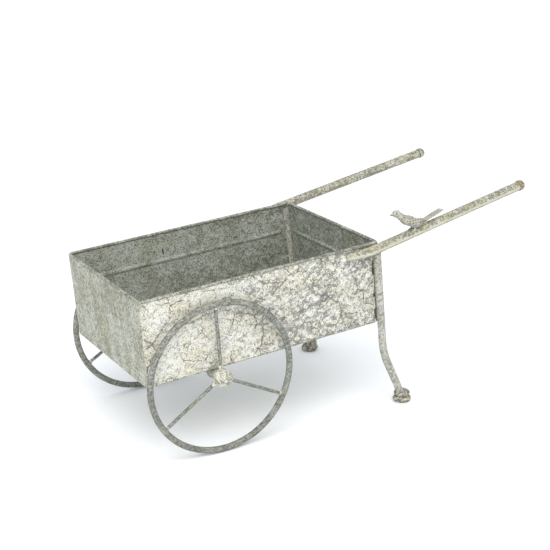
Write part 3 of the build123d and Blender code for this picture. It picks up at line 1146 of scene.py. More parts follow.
@dataclass
class Tub:
    """The sheet-metal tub with its pressed rib, slots, corner folds and rolled bead.

    Attributes:
        shape: Where the tub lies.
        leg: The legs, which the side walls stop short of.
        slit: Width of the slit between a side wall and its leg.
        step: Size of the mesh's cells.
        rib_up: Height of the pressed rib.
        rib_half: Half the rib's width.
        rib_proud: How far the rib stands into the tub.
        rib_outside: Share of the rib that shows as a groove on the outside.
        rib_fade: Length over which the rib dies out at each end.
        slot_from_front: Distance of each side's slot from the front.
        slot_below_mouth: Distance of the slots below the mouth.
        slot_half: Half the length of a slot.
        slot_half_width: Half the width of a slot.
        strap_half_width: Half the width of the strap behind a slot.
        strap_past: How far that strap reaches past each end of the slot.
        strap_thickness: Its thickness.
        strap_bite: How far an outer strap is sunk into the wall.
        notch_back: How far the floor's notches reach in from the rear.
        notch_in: How far they reach in from the sides.
        corner_r: Radius of the bead's corners.
    """

    shape: TubShape
    leg: LegShape
    slit: float = 1.2
    step: float = 1.0
    rib_up: float = 72.0
    rib_half: float = 3.0
    rib_proud: float = 1.6
    rib_outside: float = 0.8
    rib_fade: float = 6.0
    slot_from_front: tuple[float, float] = (110.0, 133.0)
    slot_below_mouth: float = 27.0
    slot_half: float = 4.5
    slot_half_width: float = 1.0
    strap_half_width: float = 2.6
    strap_past: float = 1.8
    strap_thickness: float = 0.6
    strap_bite: float = 0.15
    notch_back: float = 5.6
    notch_in: float = 2.4
    corner_r: float = 6.0

    def slot_middle(self, side: int) -> tuple[float, float]:
        """Distance of a side's slot back from the front and up from the floor."""
        return self.slot_from_front[side > 0], self.shape.depth - self.slot_below_mouth

    def rib(self, up: np.ndarray, along: np.ndarray, start: float, end: float) -> np.ndarray:
        """Shape of the pressed rib.

        Args:
            up: Height of each place above the floor's underside.
            along: Place along the rib.
            start: Where the rib starts.
            end: Where it ends.

        Returns:
            How far the sheet is pushed inwards at each place.
        """
        crown = np.clip(1 - ((up - self.rib_up) / self.rib_half) ** 2, 0, 1)
        fade = self.rib_fade
        ends = ramp(along, start, start + fade) * (1 - ramp(along, end - fade, end))
        return self.rib_proud * crown**0.8 * ends

    def build(self) -> None:
        """Makes every piece of the tub."""
        for name, side in SIDES.items():
            self.build_side(name, side)
            self.build_corner(name, side)
            self.build_strap(name, side)
        self.build_end("front_sheet", "front_panel", 0.0, Finish.FRONT)
        self.build_end("rear_sheet", "rear_panel", self.shape.length - self.shape.sheet, Finish.SIDE)
        self.build_floor()
        self.build_bead()

    def build_sheet(
        self, name: str, grids: tuple[np.ndarray, ...], outside: Finish, relief: Relief, node: str
    ) -> None:
        """Makes one sheet, painted differently on its two faces.

        Args:
            name: Name of the piece.
            grids: Points of the outer face, points of the inner face, and which cells are solid.
            outside: Finish of the outer face.
            relief: Its pattern.
            node: The frame's node that it stands for.
        """
        piece = make_plate(name, *grids)
        cells = int(grids[2].sum())
        numbers = np.zeros(len(piece.data.polygons), dtype=np.int32)
        numbers[cells : 2 * cells] = 1
        dress(piece, outside, Finish.INSIDE)
        piece.data.polygons.foreach_set("material_index", numbers)
        relief.press(piece)
        settle(piece, "barrow", "embossed_sheet", node)

    def side_grid(self, side: int) -> tuple[np.ndarray, np.ndarray, np.ndarray]:
        """Lays a side wall's grid round its slot and up to its slanting rear edge.

        Args:
            side: -1 on the left, 1 on the right.

        Returns:
            Distance back from the front and height of each grid point, and which cells are solid.
        """
        shape, half, half_width = self.shape, self.slot_half, self.slot_half_width
        slot, slot_up = self.slot_middle(side)
        length = shape.length - self.leg.rear_inset
        stops = [shape.sheet, slot - half_width, slot, slot + half_width, length]
        lines_u = stops_between(stops, self.step)
        lines_v = stops_between([shape.sheet, slot_up - half, slot_up + half, shape.depth], self.step)
        up, along = np.meshgrid(lines_v, lines_u, indexing="ij")
        in_slot_v = np.abs(middles(lines_v) - slot_up) < half
        in_slot_u = np.abs(middles(lines_u) - slot) < half_width
        kept = ~(in_slot_v[:, None] & in_slot_u[None, :])
        past_round = np.abs(up - slot_up) - (half - half_width)
        hair = 1e-6
        near = np.abs(along - slot) <= half_width + hair
        round_end = near & (past_round > 0) & (np.abs(up - slot_up) <= half + hair)
        reach = np.clip(1 - (past_round / half_width) ** 2, 0.1, 1) ** 0.5
        along = np.where(round_end, slot + (along - slot) * reach, along)
        moved_from = slot + 5
        behind_slot = np.clip((along - moved_from) / (length - moved_from), 0, 1)
        shortfall = length - self.leg.edge_along(up, self.slit)
        return along - behind_slot * shortfall, up, kept

    def build_side(self, name: str, side: int) -> None:
        """Makes one side wall, with its rib, its slot and its bark-like relief.

        Args:
            name: left or right.
            side: -1 on the left, 1 on the right.
        """
        shape = self.shape
        along, up, kept = self.side_grid(side)
        rib = self.rib(up, along, 18.0, shape.length - 14.0)
        wall = shape.wall_half(up)
        outer = shape.point(along, side * (wall - rib * self.rib_outside), up)
        inner = shape.point(along, side * (wall - shape.sheet - rib), up)
        calm = (shape.origin[0] + 60.0, shape.origin[0] + 230.0)
        relief = Relief(0.5, 15.0, 0.13, 0.55, 3.4, (0.8, 1.0, 1.15), 20 + side, 0.5, *calm)
        grids = (outer, inner, kept)
        self.build_sheet(f"side_sheet_{name}", grids, Finish.SIDE, relief, f"side_panel_{name}")

    def build_end(self, name: str, node: str, along_start: float, outside: Finish) -> None:
        """Makes the front or the rear wall.

        Args:
            name: Name of the piece.
            node: The frame's node that it stands for.
            along_start: Where it starts, back from the front.
            outside: Finish of its outer face.
        """
        shape = self.shape
        rear = along_start > 0
        lines_s = stops_between([-1.0, 0.0, 1.0], self.step / shape.floor_half)
        lines_v = stops_between([shape.sheet, shape.depth], self.step)
        up, share = np.meshgrid(lines_v, lines_s, indexing="ij")
        half = shape.wall_half(up)
        rib = self.rib(up, (share + 1) * 100, 4.0, 196.0) if rear else up * 0.0
        inwards = -1.0 if rear else 1.0
        outer_along = along_start + (shape.sheet if rear else 0.0) + inwards * rib * self.rib_outside
        inner_along = along_start + (0.0 if rear else shape.sheet) + inwards * rib
        outer = shape.point(outer_along, share * half, up)
        inner = shape.point(inner_along, share * half, up)
        kept = np.ones((len(lines_v) - 1, len(lines_s) - 1), dtype=bool)
        relief = Relief(0.3, 24.0, 0.1, 0.35, 2.6, (1.0, 1.3, 0.6), 31 + int(rear))
        self.build_sheet(name, (outer, inner, kept), outside, relief, node)

    def build_floor(self) -> None:
        """Makes the floor, notched round the legs."""
        shape = self.shape
        half, step = shape.floor_half, 1.6 * self.step
        notch_along = shape.length - self.notch_back
        notch = half - self.notch_in
        lines_u = stops_between([0.0, notch_along, shape.length], step)
        lines_w = stops_between([-half, -notch, notch, half], step)
        along, across = np.meshgrid(lines_u, lines_w, indexing="ij")
        behind, beside = middles(lines_u) > notch_along, np.abs(middles(lines_w)) > notch
        kept = ~(behind[:, None] & beside[None, :])
        under = shape.point(along, across, 0.0 * along)
        over = shape.point(along, across, shape.sheet + 0.0 * along)
        relief = Relief(0.3, 22.0, 0.1, 0.4, 2.8, seed=37)
        self.build_sheet("floor_sheet", (under, over, kept), Finish.FRONT, relief, "floor_panel")

    def build_strap(self, name: str, side: int) -> None:
        """Makes the strap behind a slot, inside on the left and outside on the right; its near-black
        finish is painted shade that makes the slot read dark.

        Args:
            name: left or right.
            side: -1 on the left, 1 on the right.
        """
        shape = self.shape
        slot, slot_up = self.slot_middle(side)
        half, reach = self.strap_half_width, self.slot_half + self.strap_past
        lines_u = stops_between([slot - half, slot + half], 0.65)
        lines_v = stops_between([slot_up - reach, slot_up + reach], 0.8)
        up, along = np.meshgrid(lines_v, lines_u, indexing="ij")
        rim = np.maximum(np.abs(along - slot) / half, np.abs(up - slot_up) / reach)
        thick = self.strap_thickness * (1 - 0.6 * ramp(rim, 0.7, 1.0))
        if side < 0:
            near = shape.wall_half(up) - shape.sheet
            far = near - thick
        else:
            near = shape.wall_half(up) - self.strap_bite
            far = near + thick
        kept = np.ones((len(lines_v) - 1, len(lines_u) - 1), dtype=bool)
        front = shape.point(along, side * near, up)
        back = shape.point(along, side * far, up)
        piece = make_plate(f"slot_strap_{name}", front, back, kept)
        dress(piece, Finish.SHADE)
        settle(piece, "barrow", "embossed_sheet")

    def build_corner(self, name: str, side: int) -> None:
        """Makes the folded seam up a front corner.

        Args:
            name: left or right.
            side: -1 on the left, 1 on the right.
        """
        shape = self.shape
        radius, margin = 0.95, 1.5
        up = np.arange(margin, shape.depth - margin, 1.2)
        path = shape.point(radius + 0 * up, side * (shape.wall_half(up) - 0.75), up)
        wander = 0.12 * hills(path, 9.0, 41 + side, 2)
        ends = round_tip(len(up), 0.0, 3.0, 0.1)
        radii = (radius + wander) * np.minimum(ends, ends[::-1])
        piece = sweep(f"corner_fold_{name}", path, X_AXIS, circles(radii, 14))
        relief = Relief(0.12, 6.0, 0.2, 0.3, 1.4, seed=43)
        complete(piece, Finish.WELD, relief, "barrow", "embossed_sheet")

    def build_bead(self) -> None:
        """Makes the rolled bead round the mouth, with the seam where its roll closes."""
        shape = self.shape
        corner_r = self.corner_r
        half = shape.mouth_half - shape.sheet / 2
        front = shape.sheet / 2
        rear = shape.length - shape.sheet / 2
        corners = [(front, -half), (rear, -half), (rear, half), (front, half)]
        flat = []
        for number, corner in enumerate(corners):
            before = np.array(corners[number - 1], float)
            after = np.array(corners[(number + 1) % 4], float)
            here = np.array(corner, float)
            back = (before - here) / np.linalg.norm(before - here)
            ahead = (after - here) / np.linalg.norm(after - here)
            centre = here + (back + ahead) * corner_r
            turns = np.linspace(0, math.pi / 2, 9)[:, None]
            arc = centre - corner_r * (np.cos(turns) * ahead + np.sin(turns) * back)
            run_end = after - ahead * corner_r
            flat += [arc, straight(arc[-1], run_end, 1.5)[1:-1]]
        flat = np.concatenate(flat)
        path = shape.point(flat[:, 0], flat[:, 1], np.full(len(flat), shape.depth))
        turn = full_turn(20)
        seam = 0.35 * hump(turns_apart(turn, -2.2), 0.22)
        sag = 0.1 * (1 + hills(path, 30.0, 51, 2))
        radii = shape.bead_r - seam[None, :] - sag[:, None]
        outline = radii[..., None] * np.stack([np.cos(turn), np.sin(turn)], axis=1)
        piece = sweep("rolled_bead", path, shape.up_axis(), outline, closed=True)
        relief = Relief(0.22, 8.0, 0.2, 0.45, 1.9, seed=53)
        complete(piece, Finish.BEAD, relief, "barrow", "rolled_edge", "rim_bead")


# ---------------------------------------------------------------- legs


@dataclass
class Leg:
    """One leg with its foot and the stitch welds that hold it.

    Attributes:
        shape: The legs' centre lines.
        name: left or right.
        side: -1 on the left, 1 on the right.
        slit: Width of the slit between the side wall and the leg.
        foot_r: Radius of the foot's lower bead.
        upper_r: Radius of its upper bead.
        groove_r: Radius of the groove between them.
        groove_height: Height of that groove.
        foot_height: Height of the foot.
        base_r: Radius of its flat underside.
        collar: How much wider than the leg its top edge is.
        groove_bite: How much deeper the groove goes at its middle.
        low_welds: Start and end of each lower stitch, up from the floor.
        high_welds: Start and end of each upper stitch, down from the mouth.
    """

    shape: LegShape
    name: str
    side: int
    slit: float = 1.2
    foot_r: float = 12.3
    upper_r: float = 10.8
    groove_r: float = 9.3
    groove_height: float = 8.2
    foot_height: float = 15.0
    base_r: float = 8.7
    collar: float = 2.3
    groove_bite: float = 1.1
    low_welds: tuple[tuple[float, float], ...] = ((1.6, 6.0), (20.0, 36.0))
    high_welds: tuple[tuple[float, float], ...] = ((68.0, 43.0), (23.0, 9.0))

    def build(self) -> None:
        """Makes every piece of the leg."""
        self.build_tube()
        self.build_foot()
        self.build_welds()

    def build_tube(self) -> None:
        """Makes the bent tube, a little out of round."""
        path = self.shape.path(self.side, 1.1)
        wander = 0.16 * hills(path, 14.0, 61 + self.side, 2) - 0.12
        radii = self.shape.radius + wander
        outline = circles(radii * round_tip(len(path), 1.0, 4.0), 36)
        piece = sweep(f"leg_tube_{self.name}", path, Y_AXIS, outline)
        relief = Relief(0.26, 10.0, 0.16, 0.4, 1.8, seed=63 + self.side)
        complete(piece, Finish.LEG, relief, "barrow", "leg_tube", f"leg_{self.name}")

    def build_foot(self) -> None:
        """Makes the turned foot: two stacked beads with a deep groove between them."""
        base = self.shape.foot_axis(self.side, 0.0)
        base_r = self.base_r
        lower_h, upper_h = self.groove_height, self.foot_height - self.groove_height
        profile = [(0.0, 0.0), (base_r - 1.5, 0.0)]
        for share in np.linspace(0, 1, 15):
            swell = math.sin(share * math.pi) ** 0.6
            edge = base_r + (self.groove_r - base_r) * share
            profile.append((edge + (self.foot_r - edge) * swell, 0.02 + share * (lower_h - 0.3)))
        groove = self.groove_r - self.groove_bite
        profile += [(groove, lower_h - 0.15), (groove, lower_h + 0.25)]
        top_r = self.shape.radius + self.collar
        for share in np.linspace(0, 1, 13):
            swell = math.sin(share * math.pi) ** 0.62
            edge = self.groove_r + (top_r - self.groove_r) * share
            height = lower_h + 0.4 + share * (upper_h - 0.4)
            profile.append((edge + (self.upper_r - edge) * swell, height))
        profile += [(self.shape.radius + 0.6, self.foot_height - 0.5), (0.0, self.foot_height - 0.5)]
        piece = revolve(f"foot_casting_{self.name}", base, Z_AXIS, profile, 72)
        dress(piece, Finish.FOOT)
        Relief(0.16, 7.0, 0.18, 0.3, 1.9, seed=67 + self.side).press(piece)
        self.flatten_base(piece)
        settle(piece, "barrow", "foot_casting", f"foot_{self.name}")

    def flatten_base(self, piece: Piece) -> None:
        """Sets the foot's underside back on the ground after its relief is cut.

        Args:
            piece: The foot.
        """
        for corner in piece.data.vertices:
            if corner.co.z < 0.4 * METRES:
                corner.co.z = 0.0

    def build_welds(self) -> None:
        """Makes the stitch welds in the slit, and the blob that joins the leg to the handle."""
        tub = self.shape.tub
        depth = tub.depth
        spans = [*self.low_welds, *((depth - start, depth - end) for start, end in self.high_welds)]
        shapes = []
        for number, (low, high) in enumerate(spans):
            count = max(2, round((high - low) / 3.2))
            for step in range(count):
                up = low + (high - low) * (step + 0.5) / count
                along = self.shape.edge_along(up, self.slit) + 0.5 * self.slit + 0.3
                across = self.side * (tub.wall_half(up) - 0.35)
                centre = tub.point(along, across, up)
                half_height = 0.62 * (high - low) / count + 0.5
                seed = 71 + 10 * number + step
                shapes.append(lump(centre, (1.9, 1.15, half_height), Matrix(), seed, 0.3))
        blob = self.shape.on_wall(self.side, depth - self.shape.top_drop - 3.0)
        for number, (back, down) in enumerate([(-3.4, 0.6), (0.6, 0.0), (3.8, 0.4)]):
            centre = blob + np.array([back, self.side * 1.6, -down])
            shapes.append(lump(centre, (4.2, 4.4, 2.6), Matrix(), 91 + number, 0.35))
        piece = make_piece(f"stitch_welds_{self.name}", *join_shapes(shapes))
        fuse(piece, 0.45, 2)
        relief = Relief(0.15, 5.0, 0.2, 0.2, 1.3, seed=97)
        complete(piece, Finish.WELD, relief, "barrow", "weld", f"leg_welds_{self.name}")


# ---------------------------------------------------------------- handles


@dataclass
class Handle:
    """One handle: a tube pinched flat at the front, and its end cap.

    Attributes:
        tub: The tub it is fixed to.
        name: left or right.
        side: -1 on the left, 1 on the right.
        radius: Radius of the tube.
        rise: Slope in radians.
        toe_in: Angle towards the middle plane in radians.
        reach: Length behind the tub's rear corner.
        straight_ahead: Length of round tube ahead of that corner.
        front_ahead: How far ahead of it the pinched end reaches.
        rim_gap: Gap between the tube and the rolled bead.
        flat_half: Half the height of the pinched end.
        flat_half_width: Half its thickness.
        flat_bite: How far it is pressed into the wall.
        front_taper: How much thinner still its very front is, as a share.
        taper_length: How far back that thinning reaches.
        cap_r: Radius of the end cap.
        cap_rim: Length of the cap's straight rim.
        seam_drop: How far below level the raised seam runs, in degrees round the tube.
    """

    tub: TubShape
    name: str
    side: int
    radius: float = 6.4
    rise: float = math.radians(11.2)
    toe_in: float = math.radians(1.75)
    reach: float = 230.0
    straight_ahead: float = 18.0
    front_ahead: float = 47.0
    rim_gap: float = 0.4
    flat_half: float = 5.5
    flat_half_width: float = 2.9
    flat_bite: float = 0.6
    front_taper: float = 0.6
    taper_length: float = 16.0
    cap_r: float = 7.2
    cap_rim: float = 3.0
    seam_drop: float = 14.0

    def aim(self) -> np.ndarray:
        """Points along the handle.

        Returns:
            Its direction, to the rear.
        """
        level = math.cos(self.rise)
        across = -self.side * level * math.sin(self.toe_in)
        return np.array([level * math.cos(self.toe_in), across, math.sin(self.rise)])

    def point(self, along: float) -> np.ndarray:
        """A point on the centre line.

        Args:
            along: Its distance back from the tub's rear corner.

        Returns:
            The point.
        """
        corner = self.tub.point(self.tub.length, 0.0, self.tub.depth)
        half = self.tub.mouth_half - self.tub.sheet / 2 + self.tub.bead_r + self.rim_gap + self.radius
        start = np.array([corner[0], self.side * half, corner[2] + self.tub.bead_r - self.radius])
        return start + self.aim() * along

    def build(self) -> None:
        """Makes every piece of the handle."""
        self.build_tube()
        self.build_cap()

    def build_tube(self) -> None:
        """Makes the tube: pinched front, round back, and a raised seam down its outer side."""
        front = -self.front_ahead / math.cos(self.rise)
        stations = np.arange(front + 0.2, self.reach + 0.5, 1.05)
        turn = full_turn(48)
        squeeze = 1 - ramp(stations, front - 4.0, -self.straight_ahead + 6.0)
        path = np.array([self.point(station) for station in stations])
        up = (path - self.tub.origin) @ self.tub.up_axis()
        thin = 1 - self.front_taper * (1 - ramp(stations, front, front + self.taper_length))
        flat_half_width = self.flat_half_width * thin
        pressed_y = self.side * (self.tub.wall_half(up) + flat_half_width - self.flat_bite)
        path[:, 1] += squeeze * (pressed_y - path[:, 1])
        wander = 1 + 0.018 * hills(path, 22.0, 101 + self.side, 2) - 0.018
        half_high = (self.radius + squeeze * (self.flat_half - self.radius)) * wander
        half_wide = (self.radius + squeeze * (flat_half_width - self.radius)) * wander
        tip = round_tip(len(stations), 0.6, 3.5)
        wide = (half_wide * tip)[:, None] * np.cos(turn)
        high = (half_high * tip)[:, None] * np.sin(turn)
        outline = np.stack([wide, high], axis=-1)
        seam_turn = -self.seam_drop if self.side > 0 else 180 + self.seam_drop
        off_seam = turns_apart(turn, math.radians(seam_turn))
        bead = 0.45 * hump(off_seam, 0.13) - 0.25 * hump(off_seam, 0.3)
        outline *= 1 + bead[None, :, None] / self.radius
        piece = sweep(f"handle_tube_{self.name}", path, Y_AXIS, outline)
        dress(piece, Finish.TUBE)
        rubbed = np.tile(hump(off_seam, 0.26), len(stations))
        Relief(0.34, 9.0, 0.16, 0.5, 2.1, seed=103 + self.side).press(piece, rubbed)
        settle(piece, "barrow", "embossed_tube", f"handle_{self.name}")

    def build_cap(self) -> None:
        """Makes the domed end cap with its raised lip."""
        end = self.point(self.reach)
        lip = self.cap_r
        corners = [(0.0, -2.0), (self.radius - 1.4, -2.0), (self.radius - 1.4, 0.05), (lip - 0.5, 0.05)]
        corners += [(lip, 0.5), (lip, self.cap_rim - 0.4)]
        profile = fine_profile(corners, 0.8)
        for turn in np.linspace(0.08, math.pi / 2 - 0.06, 14):
            profile.append((lip * math.cos(turn) - 0.06, self.cap_rim + (lip - 0.1) * math.sin(turn)))
        profile.append((0.0, self.cap_rim + lip - 0.1))
        piece = revolve(f"handle_end_cap_{self.name}", end, self.aim(), profile, 56)
        dress(piece, Finish.CAP if self.side < 0 else Finish.TUBE)
        Relief(0.28, 6.0, 0.16, 0.4, 1.7, seed=107 + self.side).press(piece)
        settle(piece, "barrow", "tube_cap", f"handle_cap_{self.name}")


# ---------------------------------------------------------------- wheels


@dataclass
class Wheel:
    """One wheel: a tube rim, three bar spokes, a cast hub and the welds between them.

    Attributes:
        name: left or right.
        side: -1 on the left, 1 on the right.
        phase: Angle of the first spoke in degrees, from the rear upwards.
        spokes: Number of spokes.
        spoke_r: Radius of a spoke.
        ball_r: Radius of the hub's ball.
        ball_out: How far the ball's middle stands outside the spokes.
        boss_r: Radius of the hub's inner boss.
        inner: Distance of the hub's inner face inside the spokes.
        bore_r: Radius of the bore.
        pocket_r: Radius of the pocket for the washer and pin.
        pocket_out: How far the pocket's floor stands outside the spokes.
        pocket_top: How far the pocket's roof stands outside the spokes.
    """

    name: str
    side: int
    phase: float
    spokes: int = 3
    spoke_r: float = 2.3
    ball_r: float = 12.0
    ball_out: float = 3.5
    boss_r: float = 8.0
    inner: float = 7.9
    bore_r: float = 4.2
    pocket_r: float = 7.9
    pocket_out: float = 1.5
    pocket_top: float = 7.6

    def __post_init__(self) -> None:
        """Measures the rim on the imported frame."""
        low, high = (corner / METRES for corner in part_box(f"wheel_rim_{self.name}"))
        self.centre = np.array((low + high) / 2)
        self.tube_r = (high.y - low.y) / 2
        self.ring_r = (high.z - low.z) / 2 - self.tube_r
        self.body = f"wheel_{self.name}"
        self.out = np.array([0.0, float(self.side), 0.0])

    def spoke_aims(self) -> list[np.ndarray]:
        """Direction of each spoke."""
        turns = [math.radians(self.phase + 360 * n / self.spokes) for n in range(self.spokes)]
        return [np.array([math.cos(turn), 0.0, math.sin(turn)]) for turn in turns]

    def build(self) -> None:
        """Makes every piece of the wheel."""
        self.build_rim()
        self.build_hub()
        for number, aim in enumerate(self.spoke_aims()):
            self.build_spoke(number + 1, aim)
        self.build_welds()

    def build_rim(self) -> None:
        """Makes the rim of bent tube, slightly uneven."""
        turns = full_turn(560)
        ring = np.stack([np.cos(turns), 0 * turns, np.sin(turns)], axis=1)
        path = self.centre + self.ring_r * ring
        radii = self.tube_r - 0.1 - 0.1 * (1 + hills(path, 20.0, 111 + self.side, 2))
        piece = sweep(f"rim_tube_{self.name}", path, Y_AXIS, circles(radii, 26), closed=True)
        relief = Relief(0.2, 9.0, 0.16, 0.45, 1.8, seed=113 + self.side)
        complete(piece, Finish.WHEEL, relief, self.body, "wheel_tube", f"wheel_rim_{self.name}")

    def build_hub(self) -> None:
        """Makes the ball hub with its ringed, petalled face and its bore and washer pocket."""
        chamfer = 0.8
        corners = [(0.0, self.pocket_top), (self.pocket_r, self.pocket_top)]
        corners += [(self.pocket_r, self.pocket_out), (self.bore_r, self.pocket_out)]
        corners += [(self.bore_r, -self.inner), (self.boss_r - chamfer, -self.inner)]
        corners += [(self.boss_r, -self.inner + chamfer)]
        root = math.asin(self.boss_r / self.ball_r)
        rings, rings_end = 14, 1.35
        profile = fine_profile(corners, 0.9)
        for turn in np.linspace(math.pi - root, 0.03, 40):
            radius = self.ball_r * math.sin(turn)
            out = self.ball_out + self.ball_r * math.cos(turn)
            ring = 0.5 - 0.5 * math.cos(turn * rings) if turn < rings_end else 0.0
            profile.append((radius * (1 - 0.035 * ring), out - 0.32 * ring * math.cos(turn)))
        profile.append((0.0, self.ball_out + self.ball_r - 0.02))
        piece = revolve(f"hub_casting_{self.name}", self.centre, self.out, profile, 84)
        self.carve_petals(piece)
        relief = Relief(0.4, 6.0, 0.2, 0.4, 2.2, seed=117 + self.side)
        nodes = (f"hub_{self.name}", f"hub_cap_{self.name}")
        complete(piece, Finish.HUB, relief, self.body, "hub_metal", *nodes)

    def carve_petals(self, piece: Piece) -> None:
        """Cuts shallow flutes round the hub's outer face.

        Args:
            piece: The hub.
        """
        petals, flute_depth, band_r, band_width = 9, 0.55, 7.4, 2.2
        for corner in piece.data.vertices:
            place = np.array(corner.co) / METRES - self.centre
            out = float(place @ self.out) - self.ball_out
            from_middle = math.sqrt(float(place @ place) - (out + self.ball_out) ** 2)
            shell = math.hypot(out, from_middle)
            if shell < self.ball_r - 1.2 or out < -2.0:
                continue
            turn = math.atan2(place[2], place[0])
            band = math.exp(-(((from_middle - band_r) / band_width) ** 2))
            depth = flute_depth * band * (0.5 - 0.5 * math.cos(petals * turn))
            towards = place - self.out * self.ball_out
            corner.co -= Vector(towards / np.linalg.norm(towards) * depth * METRES)

    def build_spoke(self, number: int, aim: np.ndarray) -> None:
        """Makes one spoke of roughly drawn bar.

        Args:
            number: Its number, from 1.
            aim: Its direction.
        """
        start = self.centre + aim * (self.ball_r * 0.8)
        end = self.centre + aim * (self.ring_r - 1.0)
        path = straight(start, end, 0.9)
        radii = self.spoke_r - 0.06 + 0.12 * hills(path, 8.0, 121 + number * self.side, 2)
        piece = sweep(f"spoke_bar_{self.name}_{number}", path, self.out, circles(radii, 20))
        relief = Relief(0.22, 7.0, 0.16, 0.45, 1.6, seed=123 + number * self.side)
        complete(piece, Finish.WHEEL, relief, self.body, "wheel_tube", f"spoke_{self.name}_{number}")

    def build_welds(self) -> None:
        """Makes the weld collars at both ends of each spoke."""
        shapes = []
        for number, aim in enumerate(self.spoke_aims()):
            turn = Vector(aim).to_track_quat("Z", "Y").to_matrix().to_4x4()
            base_seed = 131 + 20 * number + 3 * self.side
            for ring in range(3):
                radius = self.ball_r + 0.4 + 1.5 * ring
                size = 4.3 - 0.75 * ring
                centre = self.centre + aim * radius + self.out * 0.3
                shapes.append(lump(centre, (size, size, 1.7), turn, base_seed + ring, 0.34))
            for ring in range(2):
                radius = self.ring_r - self.tube_r - 0.2 - 1.3 * ring
                size = 3.9 - 0.7 * ring
                centre = self.centre + aim * radius
                shapes.append(lump(centre, (size, size * 0.95, 1.6), turn, base_seed + 7 + ring, 0.34))
        piece = make_piece(f"spoke_welds_{self.name}", *join_shapes(shapes))
        fuse(piece, 0.4, 2)
        relief = Relief(0.2, 5.0, 0.2, 0.2, 1.5, seed=137 + self.side)
        complete(piece, Finish.WELD, relief, self.body, "hub_metal")


@dataclass
class AxleGroup:
    """The axle, its hangers, spacers, washers and pins, which keep the frame's own shapes.

    Attributes:
        nodes: Names of the nodes that come once on each side, without the side.
    """

    nodes: tuple[str, ...] = ("axle_bracket", "axle_spacer", "axle_washer", "axle_pin")

    def build(self) -> None:
        """Paints every node of the group."""
        names = ["axle"] + [f"{node}_{name}" for node in self.nodes for name in SIDES]
        for name in names:
            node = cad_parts[name]
            dress(node, Finish.AXLE)
            LOG.info("%s: kept from the frame", name)


# ---------------------------------------------------------------- the bird


